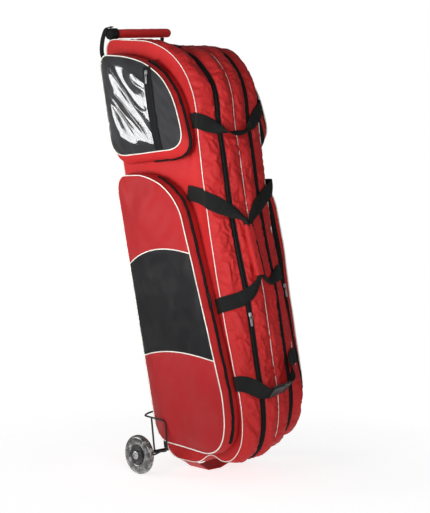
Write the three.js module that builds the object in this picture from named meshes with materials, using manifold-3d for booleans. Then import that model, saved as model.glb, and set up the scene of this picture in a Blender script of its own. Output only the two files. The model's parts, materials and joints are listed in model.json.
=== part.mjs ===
// A wheeled fencing bag standing on its trolley: a tall red polyester body with side pockets,
// zips, piping and webbing, carried by a wire frame with two wheels. Millimetres, +Z up.
// The zip side faces -Y, and left and right are seen from there. The origin is the middle of the
// sole of the sling that the bag stands on. The bag leans back about its wheel axle, and its own
// frame (x across, y back, z along the bag) starts at the middle of that axle.
import * as THREE from 'three';
import Module from 'manifold-3d';

const wasm = await Module();
wasm.setup();

// Stance
const LEAN = THREE.MathUtils.degToRad(13);
const WHEEL_RADIUS = 60;
const AXLE_BEHIND_SOLE = 65;

// Cloth, cord and webbing
const CLOTH = 2;
const GAP = 0.3;
const PIPING_RADIUS = 2.2;
const PIPING_SIDES = 4;
const WEBBING = 45;
const WEBBING_THICKNESS = 2.4;
const ZIP_WIDTH = 18;
const SEAM_INSET = 3;

// Body: side panels joined by a gusset that bulges at the front
const BODY_HALF_WIDTH = 124;
const BODY_BACK = -30;
const BULGE_POWER = 2.6;
const BULGE_FADE = 0.7;
const ZIP_X = 60;
const SHOULDER_X = 98;
const BODY_OUTLINE = [
  { to: [BODY_BACK, 1215], steps: 3 },
  { to: [-78, 1257], via: [[BODY_BACK, 1266]], steps: 3 },
  { to: [-200, 1226], steps: 2 },
  { to: [-388, 985], via: [[-310, 1196], [-390, 1110]], steps: 7 },
  { to: [-383, 130], via: [[-345, 560]], steps: 10 },
  { to: [-260, -72], via: [[-384, 20], [-370, -70]], steps: 6 },
  { to: [-90, -32], steps: 2 },
  { to: [BODY_BACK, 40], via: [[BODY_BACK, -22]], steps: 3 },
];
// Points of the outline where the front face and the zips start and end
const FRONT_FIRST = 14;
const FRONT_LAST = 27;
const ZIP_FIRST = { left: 9, right: 10 };
const ZIP_LAST = 30;
const ZIP_END_GAP = 0.02;
const FRONT_BULGE = [
  { z: -60, bulge: 24 },
  { z: 60, bulge: 28 },
  { z: 196, bulge: 37 },
  { z: 300, bulge: 48 },
  { z: 430, bulge: 56 },
  { z: 560, bulge: 46 },
  { z: 690, bulge: 38 },
  { z: 836, bulge: 36 },
  { z: 950, bulge: 26 },
  { z: 1060, bulge: 34 },
  { z: 1150, bulge: 26 },
  { z: 1230, bulge: 0 },
];

// Side pockets: a gusset standing off the body and a slightly domed face
const LOWER_POCKET = {
  face: 182,
  dome: 5,
  gussetBulge: 6,
  zipFirst: 8,
  zipLast: 21,
  outline: [
    { to: [-54, 765], steps: 3 },
    { to: [-95, 836], via: [[-50, 840]], steps: 3 },
    { to: [-160, 826], steps: 1 },
    { to: [-316, 672], via: [[-294, 782]], steps: 5 },
    { to: [-371, 150], via: [[-346, 410]], steps: 6 },
    { to: [-265, -18], via: [[-373, 40], [-345, -30]], steps: 5 },
    { to: [-112, 25], steps: 2 },
    { to: [-62, 100], via: [[-62, 38]], steps: 3 },
  ],
  pole: [-210, 420],
};
const UPPER_POCKET = {
  face: 174,
  dome: 7,
  gussetBulge: 5,
  zipFirst: 8,
  zipLast: 17,
  outline: [
    { to: [-50, 1165], steps: 2 },
    { to: [-85, 1206], via: [[-50, 1212]], steps: 3 },
    { to: [-360, 965], via: [[-210, 1180], [-345, 1130]], steps: 7 },
    { to: [-300, 880], via: [[-368, 910], [-365, 878]], steps: 4 },
    { to: [-110, 897], steps: 2 },
    { to: [-46, 960], via: [[-46, 903]], steps: 3 },
  ],
  pole: [-200, 1040],
};
const FACE_RINGS = [1, 0.6, 0];
const WINDOW_ZIP_Y = -262;
const PANEL_TOP = { crown: [-185, 598], drop: 42, reach: 165 };
const PANEL_BOTTOM = { crown: [-120, 297], drop: 50, reach: 235 };
const ARCH_STEPS = 8;
// Limits past the edges of every pocket's face, for the cuts through it
const BEYOND = { front: -420, back: 20, low: 700, high: 1400 };

// Zip pullers: a slider block with a flat tab, at a column of the outline that its zip follows
const SLIDER = { along: 12, across: 9, height: 5 };
const TAB = { along: 26, across: 6, height: 1.6 };
const FRONT_PULLER_COLUMN = { left: 22.3, right: 29.4 };
const LOWER_PULLER_COLUMN = 14.7;
const UPPER_PULLER_COLUMN = 8.3;
const WINDOW_PULLER_Z = 1120;

// Webbing on the unrolled skin: p across the front and round onto the side panels, z along the
// bag, lift off the skin, width where it is folded narrower, twist in degrees
const CORNER_REACH = 14;
const SLOPE_SPAN = 10;
const ROUTE_STEP = 0.004;
const STRAP_STEPS = 2;
const TOP_STRAP = [
  { p: -151, z: 952, lift: 1.8 },
  { p: -141, z: 951, lift: 6 },
  { p: -131, z: 948, lift: 8 },
  { p: -118, z: 944, lift: 7.6 },
  { p: -88, z: 931, lift: 3.8, width: 42 },
  { p: -58, z: 914, lift: 4.8, width: 28 },
  { p: -36, z: 908, lift: 6.8, width: 22 },
  { p: 0, z: 906, lift: 8, width: 22 },
  { p: 36, z: 908, lift: 6.8, width: 22 },
  { p: 62, z: 920, lift: 4.8, width: 34 },
  { p: 92, z: 945, lift: 5 },
  { p: 112, z: 962, lift: 10 },
  { p: 127, z: 974, lift: 13 },
  { p: 140, z: 980, lift: 11 },
  { p: 151, z: 984, lift: 2.2 },
];
const HANDLE_LOOP_LEFT = [
  { p: -172, z: 736, lift: 1.8 },
  { p: -152, z: 728, lift: 4 },
  { p: -138, z: 722, lift: 8 },
  { p: -126, z: 715, lift: 9 },
  { p: -112, z: 706, lift: 8 },
  { p: -84, z: 688, lift: 4.4 },
  { p: -45, z: 666, lift: 6, width: 36 },
  { p: -21, z: 651, lift: 12, width: 19 },
  { p: -8.6, z: 636, lift: 14.9, width: 14 },
  { p: -7.7, z: 612, lift: 14.9, width: 14 },
  { p: -7.6, z: 486, lift: 14.9, width: 14 },
  { p: -8.4, z: 468, lift: 14.9, width: 13 },
  { p: -19, z: 450, lift: 11.5, width: 18 },
  { p: -45, z: 427, lift: 5, width: 36 },
  { p: -80, z: 411, lift: 4 },
  { p: -114, z: 405, lift: 7.2 },
  { p: -128, z: 403, lift: 8 },
  { p: -138, z: 402, lift: 7.2 },
  { p: -144, z: 402, lift: 3 },
];
const HANDLE_LOOP_RIGHT = [
  { p: 172, z: 742, lift: 1.8 },
  { p: 152, z: 742, lift: 8 },
  { p: 134, z: 738, lift: 14 },
  { p: 116, z: 728, lift: 12 },
  { p: 84, z: 706, lift: 5 },
  { p: 46, z: 680, lift: 6, width: 36 },
  { p: 21, z: 656, lift: 12, width: 19 },
  { p: 8.6, z: 637, lift: 14.9, width: 14 },
  { p: 8, z: 612, lift: 14.9, width: 14 },
  { p: 7.4, z: 490, lift: 14.9, width: 14 },
  { p: 8, z: 471, lift: 14.9, width: 13 },
  { p: 16, z: 457, lift: 14, width: 13 },
  { p: 30, z: 451, lift: 11, width: 16 },
  { p: 48, z: 458, lift: 7, width: 28 },
  { p: 74, z: 469, lift: 5, width: 40 },
  { p: 100, z: 477, lift: 6.6 },
  { p: 117, z: 478, lift: 9.4 },
  { p: 130, z: 476, lift: 10.4 },
  { p: 138, z: 474, lift: 9.4 },
  { p: 145, z: 472, lift: 3 },
];
const BUCKLE = {
  p: -10,
  z: 137,
  lift: 26,
  heading: 8,
  twist: 50,
  socketThick: 11,
  plugThick: 8,
  socket: [[-39, -24], [-6, -24], [0, -19], [4, -19], [4, 19], [0, 19], [-6, 24], [-39, 24]],
  plug: [[4.3, -19], [8, -19], [13, -24], [32, -24], [32, 24], [13, 24], [8, 19], [4.3, 19]],
};
const BOTTOM_STRAP_LEFT = [
  { p: -144, z: 168, lift: 3 },
  { p: -138, z: 168, lift: 7.2 },
  { p: -128, z: 168, lift: 8 },
  { p: -114, z: 166, lift: 7.2 },
  { p: -95, z: 157, lift: 5, twist: 3 },
  { p: -79, z: 145, lift: 12, twist: 20 },
  { p: -67, z: 135, lift: 21, twist: 38 },
  { p: -57, z: 130.8, lift: 26.5, twist: 48 },
  { p: -47.6, z: 131.4, lift: 28, twist: 50 },
];
const BOTTOM_STRAP_RIGHT = [
  { p: 21.4, z: 141.4, lift: 26.5, twist: 50 },
  { p: 34, z: 143.2, lift: 25, twist: 52 },
  { p: 54, z: 148, lift: 21, width: 42, twist: 56 },
  { p: 73, z: 159, lift: 19, width: 40, twist: 52 },
  { p: 88, z: 177, lift: 15.5, width: 40, twist: 38 },
  { p: 97, z: 195, lift: 10, width: 42, twist: 18 },
  { p: 106, z: 207, lift: 8, twist: 5 },
  { p: 118, z: 215, lift: 8 },
  { p: 130, z: 217, lift: 8 },
  { p: 138, z: 218, lift: 7 },
  { p: 144.5, z: 218, lift: 1.5 },
];
const WRAP = {
  top: 626,
  bottom: 474,
  halfWidth: 20,
  halfThick: 9.6,
  wall: 3,
  lift: 14.9,
  slitAt: 35,
  slitTop: 3,
  slitBottom: 14,
};

// Strap tied round the grip: a ring and a tail that turns flat against the back
const TIE = {
  ringX: -90,
  width: 10,
  thick: 1.6,
  tail: [
    { x: -87, y: -45, z: 1302.4, turn: 0 },
    { x: -104, y: -45, z: 1303.2, turn: 0 },
    { x: -121, y: -44, z: 1299, turn: 0 },
    { x: -133, y: -40, z: 1282, turn: 8 },
    { x: -139, y: -32, z: 1256, turn: 25 },
    { x: -137, y: -22, z: 1226, turn: 50 },
    { x: -128, y: -20, z: 1200, turn: 75 },
    { x: -120, y: -24.5, z: 1178, turn: 88 },
    { x: -118, y: -28.8, z: 1156, turn: 90 },
  ],
};

// Trolley
const SEAT = 0.4;
const AXLE_RADIUS = 5;
const AXLE_HALF = 225;
const UPRIGHT_X = 104;
const UPRIGHT_RADIUS = 6;
const UPRIGHT_WALL = 0.8;
const UPRIGHT_Y = BODY_BACK + UPRIGHT_RADIUS + SEAT;
const UPRIGHT_BEND = 20;
const UPRIGHT_FOOT = [
  { y: 0, z: AXLE_RADIUS + GAP },
  { y: 0, z: 22 },
  { y: UPRIGHT_Y, z: 85 },
];
const LEG_BEND_Z = 1232;
const GRIP_LENGTH = 232;
const GRIP_RADIUS = 15;
const GRIP_SIDES = 14;
const GRIP_EDGE = { inset: 4, along: 5 };
const GRIP_Y = -45;
const GRIP_Z = 1286;
const GUARD_X = 196.5;
const GUARD_RADIUS = 2.5;
const GUARD_BEND = 14;
const GUARD_LOOP = [
  { x: UPRIGHT_X + UPRIGHT_RADIUS + GAP, y: UPRIGHT_Y, z: 124 },
  { x: 172, y: UPRIGHT_Y, z: 120 },
  { x: GUARD_X, y: -30, z: 114 },
  { x: GUARD_X, y: -122, z: 90 },
  { x: GUARD_X, y: -111, z: 0 },
  { x: GUARD_X, y: -52, z: 2 },
  { x: GUARD_X, y: -62, z: 106 },
];
const GUARD_STAY = [
  { x: GUARD_X, y: -80, z: 1 },
  { x: GUARD_X, y: -45, z: -8 },
  { x: GUARD_X, y: -AXLE_RADIUS - GAP, z: 0 },
];

// Wheels: half profiles by radius and distance from the wheel's middle plane
const WHEEL_X = 213;
const TYRE_SIDES = 24;
const HUB_SIDES = 12;
const HUB_RADIUS = 30.7;
const HUB_HALF = 12;
const TYRE_PROFILE = [
  { r: HUB_RADIUS + GAP, out: 9 },
  { r: 48, out: 11 },
  { r: 56.5, out: 9 },
  { r: WHEEL_RADIUS, out: 4 },
];
const HUB_PROFILE = [
  { r: AXLE_RADIUS + GAP, out: HUB_HALF },
  { r: 13, out: HUB_HALF },
  { r: 15, out: 7 },
  { r: HUB_RADIUS, out: 9 },
];
const CAP_START = HUB_HALF + 2 * GAP;
const CAP_PROFILE = [
  { r: 0, out: CAP_START },
  { r: 12.5, out: CAP_START },
  { r: 12.5, out: CAP_START + 4 },
  { r: 8, out: CAP_START + 5 },
  { r: 7, out: 22 },
  { r: 0, out: 22 },
];

// Sling under the bag, with a flat sole on the floor
const SLING_WALL = 2.5;
const SOLE_HALF_X = 25;
const SOLE_HALF_Y = 40;
const SLING_HALF_X = 121;
const SLING_KNEE_X = 66.5;
const SLING_SEAM = [
  { y: -60, z: -20.8 },
  { y: -90, z: -32 },
  { y: -140, z: -43.8 },
];

// Bent tubes: steps and share of a leg at each bend, and a slant that no leg follows
const BEND_STEPS = 2;
const BEND_SHARE = 0.45;
const SLANT = [0.31, 0.87, 0.38];

const material = (color, roughness, metalness = 0) =>
  new THREE.MeshStandardMaterial({ color, roughness, metalness });
const RED = material(0xb01c22, 0.75);
const COATED_RED = material(0xb4262e, 0.5);
const BLACK_CLOTH = material(0x242426, 0.7);
const WEB_BLACK = material(0x161716, 0.85);
const PIPING_WHITE = material(0xe9e4da, 0.5);
const ZIP_BLACK = material(0x131413, 0.6);
const CLEAR_FILM = material(0xc9cccf, 0.1);
const BUCKLE_BLACK = material(0x1b1c1d, 0.45);
const STEEL = material(0xb9bcc0, 0.3, 1);
const FRAME_BLACK = material(0x0d0e0e, 0.35, 0.4);
const GRIP_RED = material(0x8f1a1e, 0.8);
const SMOKE = material(0x6f6d69, 0.2);

const model = new THREE.Group();
const bag = new THREE.Group();
bag.position.set(0, AXLE_BEHIND_SOLE, WHEEL_RADIUS);
bag.rotation.x = -LEAN;
model.add(bag);
model.updateMatrixWorld(true);

function add(parent, name, geometry, finish) {
  const mesh = new THREE.Mesh(geometry, finish);
  mesh.name = name;
  parent.add(mesh);
  return mesh;
}

// Closed geometry from points and triangles: equal points are merged, flat triangles dropped and
// the faces turned outward.
function solid(points, triangles) {
  const lookup = new Map();
  const kept = [];
  const places = points.map((point) => {
    const key = point.map((value) => Math.round(value * 1e4)).join(',');
    if (!lookup.has(key)) {
      lookup.set(key, kept.length);
      kept.push(point);
    }
    return lookup.get(key);
  });
  let faces = triangles.map((triangle) => triangle.map((index) => places[index]));
  faces = faces.filter(([a, b, c]) => a !== b && b !== c && c !== a);
  const corner = (index) => new THREE.Vector3(...kept[index]);
  let volume = 0;
  for (const [a, b, c] of faces) {
    volume += corner(a).dot(corner(b).cross(corner(c)));
  }
  if (volume < 0) {
    faces = faces.map(([a, b, c]) => [a, c, b]);
  }
  const geometry = new THREE.BufferGeometry();
  geometry.setAttribute('position', new THREE.Float32BufferAttribute(kept.flat(), 3));
  geometry.setIndex(faces.flat());
  geometry.computeVertexNormals();
  return geometry;
}

// A wall between an outer and an inner surface on one grid. The columns may close into a loop, and
// open cells are left out with the wall's edge closed round them.
function wall({ rows, columns, outer, inner, loop = false, open = () => false }) {
  const points = [];
  const triangles = [];
  for (let i = 0; i < rows; i += 1) {
    for (let j = 0; j < columns; j += 1) {
      points.push(outer(i, j), inner(i, j));
    }
  }
  const cellColumns = loop ? columns : columns - 1;
  const vertex = ([i, j], side) => 2 * (i * columns + (j % columns)) + side;
  const filled = (i, j) => {
    const column = loop ? (j + columns) % columns : j;
    return i >= 0 && i < rows - 1 && column >= 0 && column < cellColumns && !open(i, column);
  };
  const quad = (a, b, c, d) => triangles.push([a, b, c], [a, c, d]);
  for (let i = 0; i < rows - 1; i += 1) {
    for (let j = 0; j < cellColumns; j += 1) {
      if (!filled(i, j)) continue;
      const corners = [[i, j], [i, j + 1], [i + 1, j + 1], [i + 1, j]];
      const neighbours = [filled(i - 1, j), filled(i, j + 1), filled(i + 1, j), filled(i, j - 1)];
      const [a, b, c, d] = corners;
      quad(vertex(a, 0), vertex(b, 0), vertex(c, 0), vertex(d, 0));
      quad(vertex(d, 1), vertex(c, 1), vertex(b, 1), vertex(a, 1));
      corners.forEach((from, side) => {
        const to = corners[(side + 1) % 4];
        if (!neighbours[side]) {
          quad(vertex(to, 0), vertex(from, 0), vertex(from, 1), vertex(to, 1));
        }
      });
    }
  }
  return solid(points, triangles);
}

// A convex section carried along frames, each with its place and its two section directions.
function sweep(frames, section, loop = false) {
  const points = [];
  const triangles = [];
  const count = section.length;
  for (const { at, u, v } of frames) {
    for (const [a, b] of section) {
      points.push([0, 1, 2].map((k) => at[k] + a * u[k] + b * v[k]));
    }
  }
  const spans = loop ? frames.length : frames.length - 1;
  for (let i = 0; i < spans; i += 1) {
    const here = i * count;
    const next = ((i + 1) % frames.length) * count;
    for (let k = 0; k < count; k += 1) {
      const turn = (k + 1) % count;
      triangles.push([here + k, here + turn, next + turn], [here + k, next + turn, next + k]);
    }
  }
  if (!loop) {
    const last = (frames.length - 1) * count;
    for (let k = 1; k < count - 1; k += 1) {
      triangles.push([0, k + 1, k], [last, last + k, last + k + 1]);
    }
  }
  return solid(points, triangles);
}

function roundSection(radius, sides) {
  const angles = Array.from({ length: sides }, (_, k) => (2 * Math.PI * k) / sides);
  return angles.map((angle) => [radius * Math.cos(angle), radius * Math.sin(angle)]);
}

// A bent wire through corner points, each corner rounded off, or a tube where it has a wall.
function tube(corners, side, { radius, sides, bend, wall }) {
  const vectors = corners.map(({ x, y, z }) => new THREE.Vector3(side * x, y, z));
  const path = [vectors[0]];
  for (let i = 1; i < vectors.length - 1; i += 1) {
    const before = vectors[i - 1].clone().sub(vectors[i]);
    const after = vectors[i + 1].clone().sub(vectors[i]);
    const reach = Math.min(bend, BEND_SHARE * before.length(), BEND_SHARE * after.length());
    const start = vectors[i].clone().addScaledVector(before.normalize(), reach);
    const end = vectors[i].clone().addScaledVector(after.normalize(), reach);
    const curve = new THREE.QuadraticBezierCurve3(start, vectors[i], end);
    path.push(...curve.getPoints(BEND_STEPS));
  }
  path.push(vectors[vectors.length - 1]);
  let wide = new THREE.Vector3(...SLANT);
  const frames = path.map((point, i) => {
    const ahead = path[Math.min(i + 1, path.length - 1)].clone().sub(path[Math.max(i - 1, 0)]);
    ahead.normalize();
    wide = wide.clone().addScaledVector(ahead, -wide.dot(ahead)).normalize();
    const across = ahead.clone().cross(wide);
    return { at: point.toArray(), ahead, u: wide.toArray(), v: across.toArray() };
  });
  const rod = sweep(frames, roundSection(radius, sides));
  if (!wall) return rod;
  const pastEnd = ({ at, ahead, ...turn }, step) => ({
    ...turn,
    at: ahead.toArray().map((along, k) => at[k] + step * along),
  });
  const bored = [pastEnd(frames[0], -1), ...frames.slice(1, -1), pastEnd(frames.at(-1), 1)];
  const bore = sweep(bored, roundSection(radius - wall, sides));
  return fromManifold(toManifold(rod).subtract(toManifold(bore)));
}

const toManifold = (geometry) =>
  new wasm.Manifold(
    new wasm.Mesh({
      numProp: 3,
      vertProperties: new Float32Array(geometry.getAttribute('position').array),
      triVerts: new Uint32Array(geometry.getIndex().array),
    }),
  );

function fromManifold(body) {
  const mesh = body.getMesh();
  const points = [];
  const triangles = [];
  for (let i = 0; i < mesh.numVert; i += 1) {
    points.push(Array.from(mesh.vertProperties.slice(mesh.numProp * i, mesh.numProp * i + 3)));
  }
  for (let i = 0; i < mesh.numTri; i += 1) {
    triangles.push(Array.from(mesh.triVerts.slice(3 * i, 3 * i + 3)));
  }
  return solid(points, triangles);
}

// Three.js geometry with its shared points merged into one closed mesh.
function merged(geometry) {
  const position = geometry.getAttribute('position');
  const index = geometry.getIndex();
  const points = [];
  const triangles = [];
  for (let i = 0; i < position.count; i += 1) {
    points.push([position.getX(i), position.getY(i), position.getZ(i)]);
  }
  const count = index ? index.count : position.count;
  for (let i = 0; i < count; i += 3) {
    triangles.push([0, 1, 2].map((k) => (index ? index.getX(i + k) : i + k)));
  }
  return solid(points, triangles);
}

const join = (...geometries) =>
  fromManifold(geometries.map(toManifold).reduce((body, next) => body.add(next)));

function curveOf(from, { to, via = [] }) {
  const points = [from, ...via, to].map(([y, z]) => new THREE.Vector2(y, z));
  if (via.length === 2) return new THREE.CubicBezierCurve(...points);
  if (via.length === 1) return new THREE.QuadraticBezierCurve(...points);
  return new THREE.LineCurve(...points);
}

// Points round a closed outline in the y-z plane, each with its outward normal.
function outlinePoints(segments) {
  const points = [];
  let from = segments[segments.length - 1].to;
  for (const segment of segments) {
    const curve = curveOf(from, segment);
    for (let step = 0; step < segment.steps; step += 1) {
      points.push(curve.getPoint(step / segment.steps));
    }
    from = segment.to;
  }
  return points.map((point, i) => {
    const before = points[(i + points.length - 1) % points.length];
    const after = points[(i + 1) % points.length];
    const along = after.clone().sub(before).normalize();
    return { y: point.x, z: point.y, ny: along.y, nz: -along.x };
  });
}

// Value of a grid surface at fractional row and column.
function between(surface, row, column) {
  const i = Math.floor(row);
  const j = Math.floor(column);
  const corner = (di, dj) => {
    const weight = (di ? row - i : 1 - row + i) * (dj ? column - j : 1 - column + j);
    return weight === 0 ? [0, 0, 0] : surface(i + di, j + dj).map((value) => value * weight);
  };
  const corners = [corner(0, 0), corner(0, 1), corner(1, 0), corner(1, 1)];
  return [0, 1, 2].map((k) => corners.reduce((sum, point) => sum + point[k], 0));
}

function fromTable(table, key, value, at) {
  const next = table.findIndex((row) => row[key] > at);
  if (next === 0) return table[0][value];
  if (next < 0) return table[table.length - 1][value];
  const [low, high] = [table[next - 1], table[next]];
  const share = (at - low[key]) / (high[key] - low[key]);
  return low[value] + share * (high[value] - low[value]);
}

// Body shell: rows run from the middle of one side panel over the gusset to the other.
const bodyOutline = outlinePoints(BODY_OUTLINE);
const ZIP_HALF = ZIP_WIDTH / 2;
const GUSSET_X = [0, ZIP_X - ZIP_HALF, ZIP_X + ZIP_HALF, SHOULDER_X, BODY_HALF_WIDTH];
const BODY_X = [...GUSSET_X.slice(1).reverse().map((x) => -x), ...GUSSET_X];
const BODY_POLE = [-205, 590];
const LEFT_ZIP_ROW = 1 + BODY_X.indexOf(-(ZIP_X + ZIP_HALF));
const RIGHT_ZIP_ROW = 1 + BODY_X.indexOf(ZIP_X - ZIP_HALF);

function bodySurface(inset) {
  return (row, column) => {
    const last = BODY_X.length + 1;
    if (row === 0 || row === last) {
      const side = row === 0 ? -1 : 1;
      return [side * (BODY_HALF_WIDTH - inset), ...BODY_POLE];
    }
    const x = BODY_X[row - 1];
    const { y, z, ny, nz } = bodyOutline[column % bodyOutline.length];
    const facing = Math.max(0, -ny) ** BULGE_FADE;
    const crown = 1 - (Math.abs(x) / BODY_HALF_WIDTH) ** BULGE_POWER;
    const out = fromTable(FRONT_BULGE, 'z', 'bulge', z) * facing * crown - inset;
    const edge = Math.abs(x) === BODY_HALF_WIDTH;
    return [edge ? Math.sign(x) * (BODY_HALF_WIDTH - inset) : x, y + out * ny, z + out * nz];
  };
}
const bodyOuter = bodySurface(0);
const bodyInner = bodySurface(CLOTH);

const inZip = (column, side) => column >= ZIP_FIRST[side] && column < ZIP_LAST;
add(
  bag,
  'body_shell',
  wall({
    rows: BODY_X.length + 2,
    columns: bodyOutline.length,
    outer: bodyOuter,
    inner: bodyInner,
    loop: true,
    open: (row, column) =>
      (row === LEFT_ZIP_ROW && inZip(column, 'left')) ||
      (row === RIGHT_ZIP_ROW && inZip(column, 'right')),
  }),
  RED,
);

// A zip's strip, filling a slot of one cell row with a small gap all round.
function zipStrip(outer, inner, row, first, last, width) {
  const edge = GAP / width;
  const columns = last - first + 1;
  const place = (surface) => (i, j) => {
    const start = j === 0 ? ZIP_END_GAP : 0;
    const end = j === columns - 1 ? ZIP_END_GAP : 0;
    return between(surface, row + (i === 0 ? edge : 1 - edge), first + j + start - end);
  };
  return wall({ rows: 2, columns, outer: place(outer), inner: place(inner) });
}

for (const side of ['left', 'right']) {
  const row = side === 'left' ? LEFT_ZIP_ROW : RIGHT_ZIP_ROW;
  const strip = zipStrip(bodyOuter, bodyInner, row, ZIP_FIRST[side], ZIP_LAST, ZIP_WIDTH);
  add(bag, `front_zip_${side}`, strip, ZIP_BLACK);
}

// Piping laid on an edge: the cord's axis stands off the corner along the bisector.
function edgePiping(outline, x, side) {
  const reach = (PIPING_RADIUS + GAP) / Math.SQRT2;
  const frames = outline.map(({ y, z, ny, nz }) => ({
    at: [side * (x + reach), y + ny * reach, z + nz * reach],
    u: [side, 0, 0],
    v: [0, ny, nz],
  }));
  return sweep(frames, roundSection(PIPING_RADIUS, PIPING_SIDES), true);
}

const MIDDLE_ROW = 1 + BODY_X.indexOf(0);
function frontPiping() {
  const length = ZIP_LAST - ZIP_FIRST.right + 1;
  const frames = Array.from({ length }, (_, k) => {
    const column = ZIP_FIRST.right + k;
    const { ny, nz } = bodyOutline[column];
    const [x, y, z] = bodyOuter(MIDDLE_ROW, column);
    const reach = PIPING_RADIUS + GAP;
    return { at: [x, y + ny * reach, z + nz * reach], u: [1, 0, 0], v: [0, ny, nz] };
  });
  return sweep(frames, roundSection(PIPING_RADIUS, PIPING_SIDES));
}
add(bag, 'front_piping', frontPiping(), PIPING_WHITE);

// Pockets: rows run from the rim at the body over the gusset to the middle of the face.
function pocketSurface(pocket, outline, side, inset) {
  const rim = BODY_HALF_WIDTH + GAP;
  const depth = pocket.face - rim;
  const slot = ZIP_HALF / depth;
  const gusset = [0, 0.5 - slot, 0.5 + slot, 1];
  return (row, column) => {
    const { y, z, ny, nz } = outline[column % outline.length];
    if (row < gusset.length) {
      const t = gusset[row];
      const out = pocket.gussetBulge * Math.sin(Math.PI * t) - inset;
      const x = t === 1 ? pocket.face - inset : rim + t * depth;
      return [side * x, y + out * ny, z + out * nz];
    }
    const ring = FACE_RINGS[row - gusset.length + 1];
    const [poleY, poleZ] = pocket.pole;
    const x = pocket.face - inset + pocket.dome * (1 - ring ** 2);
    const edgeY = y - inset * ny;
    const edgeZ = z - inset * nz;
    return [side * x, poleY + ring * (edgeY - poleY), poleZ + ring * (edgeZ - poleZ)];
  };
}
const POCKET_ROWS = 6;
const POCKET_ZIP_ROW = 1;
const FACE_ROW = 3;

// A prism through the pocket's face: the outline drawn in by an inset, run from inside to outside.
function facePrism(pocket, outline, side, inset) {
  const shape = new THREE.Shape(
    outline.map(({ y, z, ny, nz }) => new THREE.Vector2(y - inset * ny, z - inset * nz)),
  );
  return prismAcross(shape, pocket, side);
}

function prismAcross(shape, pocket, side) {
  const depth = 4 * CLOTH + pocket.dome + CLOTH;
  const geometry = new THREE.ExtrudeGeometry(shape, { depth, bevelEnabled: false });
  const turn = new THREE.Matrix4().set(0, 0, 1, 0, 1, 0, 0, 0, 0, 1, 0, 0, 0, 0, 0, 1);
  geometry.applyMatrix4(turn);
  const start = side > 0 ? pocket.face - 2 * CLOTH : -pocket.face + 2 * CLOTH - depth;
  geometry.translate(start, 0, 0);
  return toManifold(merged(geometry));
}

const archHeight = ({ crown, drop, reach }, y) => crown[1] - drop * ((y - crown[0]) / reach) ** 2;

// The black panel's region between two arched seams, drawn in by a gap.
function archedBand(pocket, side, gap) {
  const ys = Array.from({ length: ARCH_STEPS + 1 }, (_, k) =>
    THREE.MathUtils.lerp(BEYOND.back, BEYOND.front, k / ARCH_STEPS),
  );
  const top = ys.map((y) => new THREE.Vector2(y, archHeight(PANEL_TOP, y) - gap));
  const bottom = ys.map((y) => new THREE.Vector2(y, archHeight(PANEL_BOTTOM, y) + gap));
  return prismAcross(new THREE.Shape([...top, ...bottom.reverse()]), pocket, side);
}

function slab(pocket, side, yFrom, yTo) {
  const shape = new THREE.Shape([
    new THREE.Vector2(yFrom, BEYOND.low),
    new THREE.Vector2(yTo, BEYOND.low),
    new THREE.Vector2(yTo, BEYOND.high),
    new THREE.Vector2(yFrom, BEYOND.high),
  ]);
  return prismAcross(shape, pocket, side);
}

function pocketPieces(pocket, side) {
  const outline = outlinePoints(pocket.outline);
  const outer = pocketSurface(pocket, outline, side, 0);
  const inner = pocketSurface(pocket, outline, side, CLOTH);
  const columns = outline.length;
  const shell = wall({
    rows: POCKET_ROWS,
    columns,
    outer,
    inner,
    loop: true,
    open: (row, column) =>
      row === POCKET_ZIP_ROW && column >= pocket.zipFirst && column < pocket.zipLast,
  });
  const face = wall({
    rows: POCKET_ROWS - FACE_ROW,
    columns,
    outer: (i, j) => outer(FACE_ROW + i, j),
    inner: (i, j) => inner(FACE_ROW + i, j),
    loop: true,
  });
  const zip = zipStrip(outer, inner, POCKET_ZIP_ROW, pocket.zipFirst, pocket.zipLast, ZIP_WIDTH);
  return { outline, outer, shell: toManifold(shell), face: toManifold(face), zip };
}

// How far the domed face stands off the body's middle plane at a point of the face.
function faceHeight(pocket, outline, y, z) {
  const [poleY, poleZ] = pocket.pole;
  const [dy, dz] = [y - poleY, z - poleZ];
  let ring = 1;
  outline.forEach((from, i) => {
    const to = outline[(i + 1) % outline.length];
    const [ey, ez] = [to.y - from.y, to.z - from.z];
    const cross = dy * ez - dz * ey;
    const reach = ((from.y - poleY) * ez - (from.z - poleZ) * ey) / cross;
    const share = ((from.y - poleY) * dz - (from.z - poleZ) * dy) / cross;
    if (reach > 0 && share >= 0 && share <= 1) {
      ring = Math.min(1, 1 / reach);
    }
  });
  const table = FACE_RINGS.map((at) => ({ at, rise: pocket.dome * (1 - at ** 2) })).reverse();
  return pocket.face + fromTable(table, 'at', 'rise', ring);
}

// Where the pocket's edge crosses a height: its front and back y.
function edgesAt(outline, z) {
  const crossings = outline.flatMap((point, i) => {
    const next = outline[(i + 1) % outline.length];
    if ((point.z - z) * (next.z - z) > 0) return [];
    return [point.y + ((z - point.z) / (next.z - point.z)) * (next.y - point.y)];
  });
  return [Math.min(...crossings), Math.max(...crossings)];
}

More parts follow.
